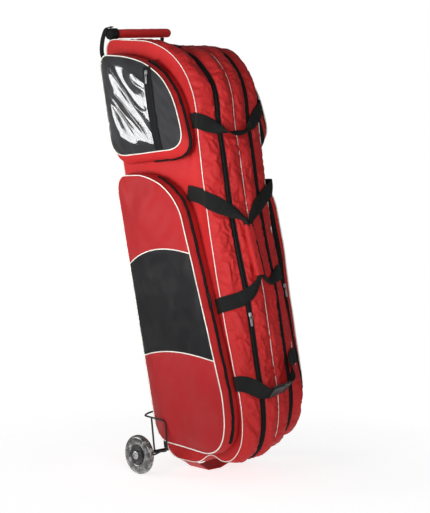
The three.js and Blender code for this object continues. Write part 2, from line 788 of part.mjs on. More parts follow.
// Cord on an arched seam of the lower pocket's face, run into the cord on the pocket's edge.
function archPiping(pocket, outline, side, arch) {
  const [front, back] = [0, 1].map((end) => {
    const guess = edgesAt(outline, arch.crown[1])[end];
    return edgesAt(outline, archHeight(arch, guess))[end];
  });
  const frames = Array.from({ length: ARCH_STEPS + 1 }, (_, k) => {
    const y = THREE.MathUtils.lerp(front, back, k / ARCH_STEPS);
    const z = archHeight(arch, y);
    const atEdge = k === 0 || k === ARCH_STEPS;
    const height = atEdge ? pocket.face : faceHeight(pocket, outline, y, z);
    const past = atEdge ? Math.sign(k - 1) * (PIPING_RADIUS / 2) : 0;
    const at = [side * (height + PIPING_RADIUS + 2 * GAP), y + past, z];
    return { at, u: [side, 0, 0], v: [0, 0, 1] };
  });
  return sweep(frames, roundSection(PIPING_RADIUS, PIPING_SIDES));
}

for (const [name, side] of [['left', -1], ['right', 1]]) {
  add(bag, `side_piping_${name}`, edgePiping(bodyOutline, BODY_HALF_WIDTH, side), PIPING_WHITE);

  const lower = pocketPieces(LOWER_POCKET, side);
  const panelCut = facePrism(LOWER_POCKET, lower.outline, side, SEAM_INSET);
  const panelFit = facePrism(LOWER_POCKET, lower.outline, side, SEAM_INSET + GAP);
  const opening = panelCut.intersect(archedBand(LOWER_POCKET, side, 0));
  const panel = lower.face.intersect(panelFit).intersect(archedBand(LOWER_POCKET, side, GAP));
  add(bag, `lower_pocket_${name}`, fromManifold(lower.shell.subtract(opening)), COATED_RED);
  add(bag, `lower_pocket_panel_${name}`, fromManifold(panel), BLACK_CLOTH);
  add(bag, `lower_pocket_zip_${name}`, lower.zip, ZIP_BLACK);
  const lowerCord = join(
    edgePiping(lower.outline, LOWER_POCKET.face, side),
    archPiping(LOWER_POCKET, lower.outline, side, PANEL_TOP),
    archPiping(LOWER_POCKET, lower.outline, side, PANEL_BOTTOM),
  );
  add(bag, `lower_pocket_piping_${name}`, lowerCord, PIPING_WHITE);

  const upper = pocketPieces(UPPER_POCKET, side);
  const faceCut = facePrism(UPPER_POCKET, upper.outline, side, SEAM_INSET);
  const faceFit = facePrism(UPPER_POCKET, upper.outline, side, SEAM_INSET + GAP);
  const sheet = upper.face.intersect(faceFit);
  const cutAt = (from, to) => fromManifold(sheet.intersect(slab(UPPER_POCKET, side, from, to)));
  add(bag, `upper_pocket_${name}`, fromManifold(upper.shell.subtract(faceCut)), RED);
  add(bag, `upper_pocket_face_${name}`, cutAt(BEYOND.front, WINDOW_ZIP_Y - ZIP_HALF), BLACK_CLOTH);
  add(bag, `window_${name}`, cutAt(WINDOW_ZIP_Y + ZIP_HALF, BEYOND.back), CLEAR_FILM);
  const windowZip = cutAt(WINDOW_ZIP_Y - ZIP_HALF + GAP, WINDOW_ZIP_Y + ZIP_HALF - GAP);
  add(bag, `window_zip_${name}`, windowZip, ZIP_BLACK);
  add(bag, `upper_pocket_zip_${name}`, upper.zip, ZIP_BLACK);
  const upperEdge = edgePiping(upper.outline, UPPER_POCKET.face, side);
  add(bag, `upper_pocket_piping_${name}`, upperEdge, PIPING_WHITE);

  const windowPlace = faceHeight(UPPER_POCKET, upper.outline, WINDOW_ZIP_Y, WINDOW_PULLER_Z);
  const pullers = [
    { key: 'front_zip_puller', ...frontPuller(name) },
    { key: 'lower_pocket_puller', ...gussetPuller(lower, LOWER_PULLER_COLUMN) },
    { key: 'upper_pocket_puller', ...gussetPuller(upper, UPPER_PULLER_COLUMN) },
    {
      key: 'window_zip_puller',
      at: [side * (windowPlace + 2 * GAP), WINDOW_ZIP_Y, WINDOW_PULLER_Z],
      along: [0, 0, -1],
      out: [side, 0, 0],
    },
  ];
  for (const { key, at, along, out } of pullers) {
    add(bag, `${key}_${name}`, puller(at, along, out), STEEL);
  }
}

// A zip's slider with its flat tab, lying on the zip's teeth.
function puller(at, along, out) {
  const slider = new THREE.BoxGeometry(SLIDER.along, SLIDER.across, SLIDER.height);
  slider.translate(0, 0, SLIDER.height / 2 + GAP);
  const tab = new THREE.BoxGeometry(TAB.along, TAB.across, TAB.height);
  tab.translate(TAB.along / 2, 0, SLIDER.height / 2 + GAP);
  const geometry = join(merged(slider), merged(tab));
  const forward = new THREE.Vector3(...along).normalize();
  const normal = new THREE.Vector3(...out);
  normal.addScaledVector(forward, -normal.dot(forward)).normalize();
  const across = normal.clone().cross(forward);
  geometry.applyMatrix4(new THREE.Matrix4().makeBasis(forward, across, normal).setPosition(...at));
  return geometry;
}

// Place of a slider on a zip's row and column: a point, the way along the zip and the way out.
function zipPlace(outer, zipRow, column, { ny, nz }) {
  const place = (row, along) => new THREE.Vector3(...between(outer, zipRow + row, column + along));
  const at = place(0.5, 0);
  const along = place(0.5, 0.3).sub(at);
  const out = along.clone().cross(place(0.9, 0).sub(place(0.1, 0))).normalize();
  if (out.y * ny + out.z * nz < 0) {
    out.negate();
  }
  return { at: at.toArray(), along: along.toArray(), out: out.toArray() };
}

function frontPuller(name) {
  const row = name === 'left' ? LEFT_ZIP_ROW : RIGHT_ZIP_ROW;
  const column = FRONT_PULLER_COLUMN[name];
  return zipPlace(bodyOuter, row, column, bodyOutline[Math.round(column)]);
}

function gussetPuller({ outline, outer }, column) {
  return zipPlace(outer, POCKET_ZIP_ROW, column, outline[Math.round(column)]);
}

// The bag's skin unrolled: p runs across the front from the middle seam, then round the side edge
// and back along the side panel, and z along the bag. Gives a point of the skin and its normal.
function frontColumn(z) {
  for (let column = FRONT_FIRST; column < FRONT_LAST; column += 1) {
    const [high, low] = [bodyOutline[column].z, bodyOutline[column + 1].z];
    if (z <= high && z >= low) return column + (high - z) / (high - low);
  }
  throw new Error(`the front has no height ${z}`);
}

function frontRow(x) {
  const next = BODY_X.findIndex((value) => value > x);
  const high = next < 0 ? BODY_X.length - 1 : Math.max(next, 1);
  return high + (x - BODY_X[high - 1]) / (BODY_X[high] - BODY_X[high - 1]);
}

function skin(p, z) {
  const side = p < 0 ? -1 : 1;
  const column = frontColumn(z);
  const frontAt = (x) => between(bodyOuter, frontRow(x), column);
  const x = side * Math.min(Math.abs(p), BODY_HALF_WIDTH);
  const at = frontAt(x);
  const low = Math.max(-BODY_HALF_WIDTH, x - SLOPE_SPAN);
  const high = Math.min(BODY_HALF_WIDTH, x + SLOPE_SPAN);
  const slope = (frontAt(high)[1] - frontAt(low)[1]) / (high - low);
  let turn = Math.atan(slope);
  const past = Math.abs(p) - BODY_HALF_WIDTH;
  if (past > 0) {
    turn += Math.min(1, past / CORNER_REACH) * (side * (Math.PI / 2) - turn);
  }
  const back = Math.max(0, past - CORNER_REACH);
  return { at: [at[0], at[1] + back, at[2]], normal: [Math.sin(turn), -Math.cos(turn), 0] };
}

function liftedPoint(p, z, lift) {
  const { at, normal } = skin(p, z);
  return new THREE.Vector3(...at).addScaledVector(new THREE.Vector3(...normal), lift);
}

// A strap laid over the skin through rows of place, lift, width and twist about its own line.
function strap(rows) {
  const places = rows.map(({ p, z, lift }) => new THREE.Vector3(p, z, lift));
  const route = new THREE.CatmullRomCurve3(places, false, 'centripetal');
  const count = (rows.length - 1) * STRAP_STEPS + 1;
  const table = rows.map((row, index) => ({ twist: 0, width: WEBBING, ...row, index }));
  const middle = (k, across) => {
    const share = k / (count - 1);
    const at = route.getPoint(share);
    const before = route.getPoint(Math.max(0, share - ROUTE_STEP));
    const ahead = route.getPoint(Math.min(1, share + ROUTE_STEP)).sub(before);
    const length = Math.hypot(ahead.x, ahead.y);
    const index = share * (rows.length - 1);
    const width = fromTable(table, 'index', 'width', index);
    const twist = THREE.MathUtils.degToRad(fromTable(table, 'index', 'twist', index));
    const flat = (across * width * Math.cos(twist)) / 2;
    return liftedPoint(
      at.x - (flat * ahead.y) / length,
      at.y + (flat * ahead.x) / length,
      at.z + (across * width * Math.sin(twist)) / 2,
    );
  };
  const offset = (half) => (k, edge) => {
    const across = edge === 0 ? -1 : 1;
    const along = middle(Math.min(count - 1, k + 1), 0).sub(middle(Math.max(0, k - 1), 0));
    const wide = middle(k, 1).sub(middle(k, -1));
    const normal = along.cross(wide).normalize();
    return middle(k, across).addScaledVector(normal, half).toArray();
  };
  return wall({
    rows: count,
    columns: 2,
    outer: offset(WEBBING_THICKNESS / 2),
    inner: offset(-WEBBING_THICKNESS / 2),
  });
}

add(bag, 'top_strap', strap(TOP_STRAP), WEB_BLACK);
add(bag, 'handle_loop_left', strap(HANDLE_LOOP_LEFT), WEB_BLACK);
add(bag, 'handle_loop_right', strap(HANDLE_LOOP_RIGHT), WEB_BLACK);
add(bag, 'bottom_strap_left', strap(BOTTOM_STRAP_LEFT), WEB_BLACK);
add(bag, 'bottom_strap_right', strap(BOTTOM_STRAP_RIGHT), WEB_BLACK);

// The padded wrap that holds the two handle loops together, open along a slit at its right front.
function handleWrap() {
  const stations = 4;
  const columns = 15;
  const ring = (inset) => (i, j) => {
    const share = i / (stations - 1);
    const z = WRAP.top + share * (WRAP.bottom - WRAP.top);
    const slit = THREE.MathUtils.degToRad(WRAP.slitTop + share * (WRAP.slitBottom - WRAP.slitTop));
    const start = THREE.MathUtils.degToRad(WRAP.slitAt) + slit;
    const angle = start + (j / (columns - 1)) * (2 * Math.PI - 2 * slit);
    const soft = (value) => Math.sign(value) * Math.abs(value) ** (2 / 3);
    const [, y] = skin(0, z).at;
    const x = (WRAP.halfWidth - inset) * soft(Math.cos(angle));
    const front = (WRAP.halfThick - inset) * soft(Math.sin(angle));
    return [x, y - WRAP.lift - front, z];
  };
  return wall({ rows: stations, columns, outer: ring(0), inner: ring(WRAP.wall) });
}
add(bag, 'handle_wrap', handleWrap(), RED);

// Side-release buckle, closed, turned on its edge between the two bottom straps.
function buckleHalf(outline, thick) {
  const shape = new THREE.Shape(outline.map(([x, y]) => new THREE.Vector2(x, y)));
  const geometry = new THREE.ExtrudeGeometry(shape, { depth: thick, bevelEnabled: false });
  geometry.translate(0, 0, -thick / 2);
  const heading = THREE.MathUtils.degToRad(BUCKLE.heading);
  const twist = THREE.MathUtils.degToRad(BUCKLE.twist);
  const normal = new THREE.Vector3(...skin(BUCKLE.p, BUCKLE.z).normal);
  const along = new THREE.Vector3(Math.cos(heading), 0, Math.sin(heading));
  along.addScaledVector(normal, -along.dot(normal)).normalize();
  const up = normal.clone().cross(along);
  const wide = up.clone().multiplyScalar(Math.cos(twist)).addScaledVector(normal, Math.sin(twist));
  const out = normal.clone().multiplyScalar(Math.cos(twist)).addScaledVector(up, -Math.sin(twist));
  const place = new THREE.Matrix4().makeBasis(along, wide, out);
  place.setPosition(liftedPoint(BUCKLE.p, BUCKLE.z, BUCKLE.lift));
  geometry.applyMatrix4(place);
  return merged(geometry);
}
add(bag, 'buckle_socket', buckleHalf(BUCKLE.socket, BUCKLE.socketThick), BUCKLE_BLACK);
add(bag, 'buckle_plug', buckleHalf(BUCKLE.plug, BUCKLE.plugThick), BUCKLE_BLACK);

// Trolley: two uprights, the grip across their tops, the axle and a wire guard beside each wheel.
const gripAxis = new THREE.Vector3(0, GRIP_Y, GRIP_Z);
const legTop = new THREE.Vector3(0, UPRIGHT_Y, LEG_BEND_Z);
const legRise = gripAxis.clone().sub(legTop);
legRise.setLength(legRise.length() - GRIP_RADIUS - SEAT);
legTop.add(legRise);

// A turned piece about the X axis, from its profile of radius and distance out along X.
function turned(profile, sides) {
  const points = profile.map(({ r, out }) => new THREE.Vector2(r, out));
  return merged(new THREE.LatheGeometry(points, sides).rotateZ(-Math.PI / 2));
}

// A half profile, its mirror image and the line that closes them.
function bothSides(profile) {
  const mirrored = profile.map(({ r, out }) => ({ r, out: -out }));
  return [...mirrored, ...profile.slice().reverse(), mirrored[0]];
}

const gripProfile = [
  { r: GRIP_RADIUS, out: GRIP_LENGTH / 2 - GRIP_EDGE.along },
  { r: GRIP_RADIUS - GRIP_EDGE.inset, out: GRIP_LENGTH / 2 },
  { r: 0, out: GRIP_LENGTH / 2 },
];
const gripEnd = gripProfile.map(({ r, out }) => ({ r, out: -out })).reverse();
const grip = turned([...gripEnd, ...gripProfile], GRIP_SIDES);
grip.translate(0, GRIP_Y, GRIP_Z);
add(bag, 'grip', grip, GRIP_RED);

const axle = new THREE.CylinderGeometry(AXLE_RADIUS, AXLE_RADIUS, 2 * AXLE_HALF, HUB_SIDES);
add(bag, 'axle', merged(axle.rotateZ(Math.PI / 2)), FRAME_BLACK);

for (const [name, side] of [['left', -1], ['right', 1]]) {
  const route = [
    ...UPRIGHT_FOOT,
    { y: UPRIGHT_Y, z: LEG_BEND_Z },
    { y: legTop.y, z: legTop.z },
  ].map((corner) => ({ x: UPRIGHT_X, ...corner }));
  const pipe = { radius: UPRIGHT_RADIUS, sides: 6, bend: UPRIGHT_BEND, wall: UPRIGHT_WALL };
  add(bag, `upright_${name}`, tube(route, side, pipe), FRAME_BLACK);

  const wire = { radius: GUARD_RADIUS, sides: 5, bend: GUARD_BEND };
  const guard = join(tube(GUARD_LOOP, side, wire), tube(GUARD_STAY, side, wire));
  add(bag, `guard_${name}`, guard, FRAME_BLACK);

  const capProfile = CAP_PROFILE.map(({ r, out }) => ({ r, out: side * out }));
  const pieces = [
    { key: 'wheel_tyre', geometry: turned(bothSides(TYRE_PROFILE), TYRE_SIDES), finish: SMOKE },
    { key: 'wheel_hub', geometry: turned(bothSides(HUB_PROFILE), HUB_SIDES), finish: BUCKLE_BLACK },
    { key: 'axle_cap', geometry: turned(capProfile, HUB_SIDES), finish: STEEL },
  ];
  for (const { key, geometry, finish } of pieces) {
    geometry.translate(side * WHEEL_X, 0, 0);
    geometry.rotateX(LEAN);
    add(bag, `${key}_${name}`, geometry, finish);
  }
}

// Strap tied round the grip's left end, running down behind the bag's top corner.
function gripTie() {
  const half = TIE.width / 2;
  const thin = TIE.thick / 2;
  const section = [[-half, -thin], [half, -thin], [half, thin], [-half, thin]];
  const radius = GRIP_RADIUS + 2 * SEAT + thin;
  const ring = Array.from({ length: GRIP_SIDES }, (_, k) => {
    const angle = (2 * Math.PI * k) / GRIP_SIDES;
    const radial = [0, Math.cos(angle), Math.sin(angle)];
    return {
      at: [TIE.ringX, GRIP_Y + radius * radial[1], GRIP_Z + radius * radial[2]],
      u: [1, 0, 0],
      v: radial,
    };
  });
  const places = TIE.tail.map(({ x, y, z }) => new THREE.Vector3(x, y, z));
  const route = new THREE.CatmullRomCurve3(places, false, 'centripetal');
  const table = TIE.tail.map(({ turn }, index) => ({ index, turn }));
  const tailSteps = 2 * (TIE.tail.length - 1);
  const tail = Array.from({ length: tailSteps + 1 }, (_, k) => {
    const share = k / tailSteps;
    const ahead = route.getTangent(share);
    const degrees = fromTable(table, 'index', 'turn', share * (TIE.tail.length - 1));
    const turn = THREE.MathUtils.degToRad(degrees);
    const back = new THREE.Vector3(0, 1, 0).addScaledVector(ahead, -ahead.y).normalize();
    const side = ahead.clone().cross(back);
    const u = back.clone().multiplyScalar(Math.cos(turn)).addScaledVector(side, Math.sin(turn));
    const v = ahead.clone().cross(u);
    return { at: route.getPoint(share).toArray(), u: u.toArray(), v: v.toArray() };
  });
  return join(sweep(ring, section, true), sweep(tail, section));
}
add(bag, 'grip_tie', gripTie(), WEB_BLACK);

// Sling: a band of cloth from the bottom's two side seams down to a flat sole on the floor.
function sling() {
  const seams = SLING_SEAM.map(({ y, z }) => bag.localToWorld(new THREE.Vector3(0, y, z)));
  const spread = [SOLE_HALF_X, SLING_KNEE_X, SLING_HALF_X];
  const across = [...spread.map((x) => -x).reverse(), ...spread];
  const columns = seams.length;
  const under = (i, j) => {
    const x = across[i];
    const rise = Math.max(0, Math.abs(x) - SOLE_HALF_X) / (SLING_HALF_X - SOLE_HALF_X);
    const soleY = SOLE_HALF_Y * (1 - (2 * j) / (columns - 1));
    const seam = seams[j];
    return [x, soleY + rise * (seam.y - soleY), rise * (seam.z - SLING_WALL - 2 * GAP)];
  };
  const over = (i, j) => {
    const [x, y, z] = under(i, j);
    return [x, y, z + SLING_WALL];
  };
  return wall({ rows: across.length, columns, outer: under, inner: over });
}

add(model, 'sling', sling(), RED);

export default model;
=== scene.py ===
"""Looks of a wheeled fencing bag: its cloth, webbing, zips, film, padded pieces, trolley and wheels.

Shapes are worked out in the bag's own millimetres (x across, y back, z along the bag, from the
middle of the axle) as numpy grids, and to_frame() leans them back into the frame's metres.
"""

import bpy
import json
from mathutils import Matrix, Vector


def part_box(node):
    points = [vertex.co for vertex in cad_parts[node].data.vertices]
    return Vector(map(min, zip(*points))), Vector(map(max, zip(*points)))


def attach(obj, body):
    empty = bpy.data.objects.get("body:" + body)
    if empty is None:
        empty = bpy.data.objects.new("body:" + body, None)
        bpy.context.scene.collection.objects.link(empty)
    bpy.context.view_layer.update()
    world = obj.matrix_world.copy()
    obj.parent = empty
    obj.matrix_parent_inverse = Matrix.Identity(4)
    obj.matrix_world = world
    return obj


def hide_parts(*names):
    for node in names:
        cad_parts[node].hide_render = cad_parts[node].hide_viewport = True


bl_info = {
    "name": "Wheeled Fencing Bag",
    "version": (1, 0, 0),
    "blender": (4, 5, 0),
    "location": "View3D > Sidebar > Fencing Bag",
    "description": "Dresses the frame of a wheeled fencing bag in cloth, webbing, zips and film",
    "category": "Object",
}

import copy
import json
import math

import bmesh
import bpy
import numpy as np
from bpy.props import FloatProperty, FloatVectorProperty, PointerProperty
from mathutils import Vector

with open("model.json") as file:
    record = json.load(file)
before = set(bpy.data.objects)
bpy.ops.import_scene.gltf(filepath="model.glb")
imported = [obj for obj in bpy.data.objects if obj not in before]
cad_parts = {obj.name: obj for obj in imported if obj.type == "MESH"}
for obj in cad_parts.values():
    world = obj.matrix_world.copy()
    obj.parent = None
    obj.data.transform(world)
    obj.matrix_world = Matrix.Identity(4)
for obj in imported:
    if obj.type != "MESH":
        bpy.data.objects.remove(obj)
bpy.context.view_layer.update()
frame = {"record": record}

SIDES = (("left", -1), ("right", 1))
MM = 0.001
LEAN = math.radians(13)
AXLE = np.mean([list(corner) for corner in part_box("axle")], axis=0) / MM
SLOT_COLOURS = {entry["slot"]: entry["base_color"][:3] for entry in frame["record"]["materials"]}

# Body: the outline of its side panels, the bulge of its front and the seams across it
BODY_HALF = 124
BODY_BACK = -30
BULGE_POWER = 2.6
BULGE_FADE = 0.7
BODY_OUTLINE = (
    {"to": (BODY_BACK, 1215)},
    {"to": (-78, 1257), "via": ((BODY_BACK, 1266),)},
    {"to": (-200, 1226)},
    {"to": (-388, 985), "via": ((-310, 1196), (-390, 1110))},
    {"to": (-383, 130), "via": ((-345, 560),)},
    {"to": (-260, -72), "via": ((-384, 20), (-370, -70))},
    {"to": (-90, -32)},
    {"to": (BODY_BACK, 40), "via": ((BODY_BACK, -22),)},
)
FRONT_BULGE = {
    -60: 24, 60: 28, 196: 37, 300: 48, 430: 56, 560: 46,
    690: 38, 836: 36, 950: 26, 1060: 34, 1150: 26, 1230: 0,
}
# How the stuffed bag hangs: depths and reaches, and the ranges over which each fades in or out
HITCH = {"left": 14, "more_right": 62, "across": (-90, 150), "front": (170, 300), "up": (-20, 230)}
TUCK = {"depth": 30, "y": -222, "reach": 44, "up": (-10, 90)}
SUNK_SHOULDER = {"depth": 25, "up": (1130, 1225), "across": (-115, 15)}
ZIP_VALLEY = {"depth": 11, "reach": 28, "begins": (1020, 1120), "ends": (1190, 1225)}
# Stuffed corners of the front: height, then place and reach across and along the bag
STUFFED = ((15, 100, 24, 60, 75), (9, 102, 20, 1050, 80))
# Front cloth let go in the simulation: how much too long it is, and the furthest that it may move
CLOTH = {"growth": 0.07, "pressure": 4, "frames": 20, "bend": 0.6, "reach": 18, "held_under": 4}

# Zips: tape, the coil's ribs and the line of stitches, at a share of the tape's half width
ZIP_X = 60
ZIP_STEP = 1.2
TAPE_LIFT = 0.9
TAPE_WALL = 1.0
COIL_PITCH = 3.6
COIL_RIB = 0.14
STITCH = {"height": 0.35, "at": 0.62, "reach": 0.7}
# Black end of the left front zip, over the body's seam at the shoulder
SHOULDER_TAB = {"half": 25, "along": (4, 28), "lift": 3.4, "wall": 1.6}
# A zip's two ends: a segment of its outline and the share of that segment
FRONT_ZIP_START = {"left": (3, 1 / 7), "right": (3, 2 / 7)}
FRONT_ZIP_END = (5, 5 / 6)
FRONT_PULLER = {"left": (4, 0.73), "right": (5, 0.733)}

# Pockets: a gusset from the body to the face, and a domed face
POCKET_RIM = BODY_HALF + 0.3
# Cords of the body, as shares of the pockets' piping radius
SIDE_CORD = 0.8
FRONT_CORD = 0.65
LOWER_POCKET = {
    "face": 182, "dome": 15, "dome_reach": 44, "gusset_bulge": 6, "sag": 0,
    "slack": {-1: ((0,), (0,)), 1: ((140, 400, 560, 700), (34, 4, -20, -30))},
    "zip": ((3, 1 / 5), (5, 3 / 5)),
    "zip_across": {-1: ((0,), (0.5,)), 1: ((240, 520), (0.48, 0.66))},
    "puller": (4, 0.45),
    "outline": (
        {"to": (-54, 765)},
        {"to": (-95, 836), "via": ((-50, 840),)},
        {"to": (-160, 826)},
        {"to": (-316, 672), "via": ((-294, 782),)},
        {"to": (-371, 150), "via": ((-346, 410),)},
        {"to": (-265, -18), "via": ((-373, 40), (-345, -30))},
        {"to": (-112, 25)},
        {"to": (-62, 100), "via": ((-62, 38),)},
    ),
}
UPPER_POCKET = {
    "face": 174, "dome": 10, "dome_reach": 28, "gusset_bulge": 5, "sag": 23,
    "slack": {-1: ((0,), (0,)), 1: ((900, 960, 1040, 1150), (0, 4, 24, 34))},
    "zip": ((2, 3 / 7), (4, 1 / 2)),
    "zip_across": {-1: ((0,), (0.5,)), 1: ((0,), (0.38,))},
    "puller": (2, 0.471),
    "outline": (
        {"to": (-50, 1165)},
        {"to": (-85, 1206), "via": ((-50, 1212),)},
        {"to": (-360, 965), "via": ((-210, 1180), (-345, 1130))},
        {"to": (-300, 880), "via": ((-368, 910), (-365, 878))},
        {"to": (-110, 897)},
        {"to": (-46, 960), "via": ((-46, 903),)},
    ),
}
PANEL_TOP = {"crown": (-185, 598), "drop": 42, "reach": 165}
PANEL_BOTTOM = {"crown": (-120, 297), "drop": 50, "reach": 235}
DARK_PULLERS = ("lower_pocket_left", "upper_pocket_left")
# Share of a pocket zip's tape that its gusset leaves uncovered
POCKET_ZIP_SHOWN = {"left": 0.62, "right": 0.8}
WINDOW_ZIP_Y = -262
WINDOW_PULLER_Z = 1120
# The window's zip: its tape pulled wider, its lift off the face and the fold of film beside it
WINDOW_ZIP = {"stretch": 1.7, "lift": 1.2, "fold": 2.6, "fold_at": 9, "fold_reach": 5, "end_gap": 2}
FILM_LIFT = 3.2
FACE_WALL = 1.6
FILM_WALL = 0.6

# Webbing on the unrolled skin: p across the front and round onto the side panels, z along the bag,
# lift off the skin, width where it is bunched, twist in degrees about its own line
CORNER_REACH = 14
WOVEN_WIDTH = 45
STRAP_CLEARANCE = 2.2
OPEN_CEILING = 40.0
TOP_STRAP = (
    (-166, 951, 1.8, 45, 0), (-150, 951, 3, 45, 0), (-141, 951, 6, 45, 0), (-131, 948, 8, 45, 0),
    (-118, 944, 7.6, 45, 0), (-92, 932, 4, 43, 0), (-66, 918, 6, 30, 12), (-48, 908, 10, 15, 70),
    (-30, 904, 9.5, 18, 125), (-6, 902, 9.5, 19, 150), (18, 904, 9.5, 18, 135), (40, 911, 10.5, 17, 105),
    (58, 923, 9, 26, 165), (76, 936, 6.4, 40, 180), (92, 947, 6, 45, 180), (112, 962, 10, 45, 180),
    (127, 974, 13, 45, 180), (140, 980, 11, 45, 180), (151, 984, 2.2, 45, 180),
)
HANDLE_LOOP_LEFT = (
    (-210, 748, 1.8, 45, 0), (-172, 736, 2.4, 45, 0), (-152, 728, 4, 45, 0), (-138, 722, 8, 45, 0),
    (-126, 715, 9, 45, 0), (-112, 706, 8, 45, 0), (-86, 688, 4.4, 45, 0), (-56, 668, 6, 36, 0),
    (-36, 652, 11, 19, 0), (-26, 637, 14.9, 14, 0), (-24, 612, 14.9, 14, 0), (-17.6, 486, 14.9, 14, 0),
    (-18, 468, 14.9, 13, 0), (-27, 450, 11.5, 18, 0), (-49, 427, 5, 36, 0), (-80, 411, 4, 45, 0),
    (-114, 405, 7.2, 45, 0), (-128, 403, 8, 45, 0), (-138, 402, 6, 45, 0), (-152, 401, 2.2, 45, 0),
    (-176, 399, 1.8, 45, 0),
)
HANDLE_LOOP_RIGHT = (
    (172, 742, 1.8, 45, 0), (152, 742, 12, 45, 0), (134, 738, 23, 45, 0), (116, 728, 17, 45, 0),
    (84, 708, 6, 45, 0), (42, 682, 7, 42, 0), (10, 656, 11, 28, 0), (-8, 637, 14.9, 14, 0),
    (-8.4, 612, 14.9, 14, 0), (-2.6, 490, 14.9, 14, 0), (-1.6, 471, 14.9, 13, 0), (8, 457, 14, 13, 0),
    (24, 451, 11, 18, 0), (46, 458, 7, 30, 0), (74, 469, 5, 40, 0), (100, 477, 6.6, 45, 0),
    (117, 478, 9.4, 45, 0), (130, 476, 10.4, 45, 0), (138, 474, 9.4, 45, 0), (145, 472, 3, 45, 0),
)
BOTTOM_STRAP_LEFT = (
    (-144, 168, 3, 45, 0), (-138, 168, 7.2, 45, 0), (-128, 168, 8, 45, 0), (-114, 166, 7.2, 45, 0),
    (-95, 157, 5, 45, 3), (-80, 144, 12, 45, 22), (-69, 132, 21, 45, 44), (-59, 126, 26.5, 45, 56),
    (-49.6, 126, 28, 45, 58),
)
BOTTOM_STRAP_RIGHT = (
    (19.4, 137.4, 26.5, 45, 58), (30, 141, 25.5, 45, 62), (43, 150, 23, 42, 66),
    (53, 166, 20, 40, 60), (60, 186, 16, 40, 40), (68, 204, 10, 44, 14), (82, 216, 7, 45, 3),
    (102, 223, 7, 45, 0), (124, 226, 8, 45, 0), (138, 226, 7, 45, 0), (144.5, 226, 1.5, 45, 0),
)
STRAPS = {
    "top_strap": TOP_STRAP,
    "handle_loop_left": HANDLE_LOOP_LEFT,
    "handle_loop_right": HANDLE_LOOP_RIGHT,
    "bottom_strap_left": BOTTOM_STRAP_LEFT,
    "bottom_strap_right": BOTTOM_STRAP_RIGHT,
}
WRAP = {"top": 626, "bottom": 474, "half_width": 20, "half_thick": 9.6, "wall": 3, "lift": 14.9,
        "sway_top": -17, "sway_bottom": -10, "slit_at": 64, "slit_top": 5, "slit_bottom": 20}
BUCKLE = {"p": -12, "z": 132, "lift": 26, "heading": 9, "twist": 58, "bevel": 2.2}
BUCKLE_RIB = (1.6, 15, 1.4)
BUCKLE_SOCKET = {
    "thick": 11,
    "ribs": (-30, -22, -14),
    "outline": ((-39, -24), (-6, -24), (0, -19), (4, -19), (4, 19), (0, 19), (-6, 24), (-39, 24)),
}
BUCKLE_PLUG = {
    "thick": 8,
    "ribs": (18, 24),
    "outline": ((4.3, -19), (8, -19), (13, -24), (32, -24), (32, 24), (13, 24), (8, 19), (4.3, 19)),
}

# Trolley
GRIP = {"middle": 8, "y": -45, "z": 1282, "length": 248, "radius": 15,
        "seam_at": 4.0, "seam_reach": 0.09, "seam_depth": 1.1, "end_round": 3.0}
UPRIGHT_X = 104
UPRIGHT_Y = -23.6
UPRIGHT = ((0, 5.3), (0, 22), (UPRIGHT_Y, 85), (UPRIGHT_Y, 1232), (-38.2, 1269))
UPRIGHT_RADIUS = 6
GUARD_RADIUS = 2.8
GUARD_X = 196.5
GUARD_LOOP = (
    (110.3, UPRIGHT_Y, 124), (172, UPRIGHT_Y, 120), (GUARD_X, -30, 114), (GUARD_X, -122, 90),
    (GUARD_X, -111, 0), (GUARD_X, -52, 2), (GUARD_X, -62, 106),
)
GUARD_STAY = ((GUARD_X, -80, 1), (GUARD_X, -45, -8), (GUARD_X, -5.3, 0))
TIE_HALF = 6.5
TIE_RING_X = -103
# Strap drawn in over the grip's left end: partly the real strap, and partly painted shade, a black cap over
# the end where it lies in shade.
TIE_CAP_AND_SHADE = ((-18, 0.05), (-17.6, 0.5), (-16.6, 0.82), (-14, 0.97), (-9, 1), (0, 1), (8, 1), (14, 1))
TIE_TAIL = (
    (-100, -45, 1302.4, 0), (-112, -45, 1303.2, 0), (-124, -44, 1299, -8), (-133, -40, 1282, -30),
    (-139, -32, 1256, -47), (-137, -22, 1226, -52), (-128, -20, 1200, -66), (-120, -24.5, 1178, -84),
    (-118, -28.8, 1156, -90),
)

# Sling: half sizes of its sole across and back, and where it is sewn to the bottom of the bag
SOLE_HALF = (25, 40)
SLING_HALF = 121
SLING_WALL = 2.4
SLING_SEAM = ((-60, -20.8), (-90, -32), (-140, -43.8))

# Studio: each light's place, size, spread in degrees, the height that it aims at and its power's setting
CAMERA_AIM = Vector((0.0, -0.041, 0.654))
SENSOR_WIDTH = 36
LIGHTS = (
    ("key", (-2.0, -0.45, 0.9), 0.8, 62, 0.98, "key_power"),
    ("window_panel", (-2.2, 2.2, 0.9), 1.0, 180, 1.0, "side_power"),
    ("fill", (-1.3, -1.95, 0.65), 0.8, 110, 0.65, "fill_power"),
)
FLOOR = {"half": 1000, "below": 0.5, "glow": 0.76, "fade": 0.55}


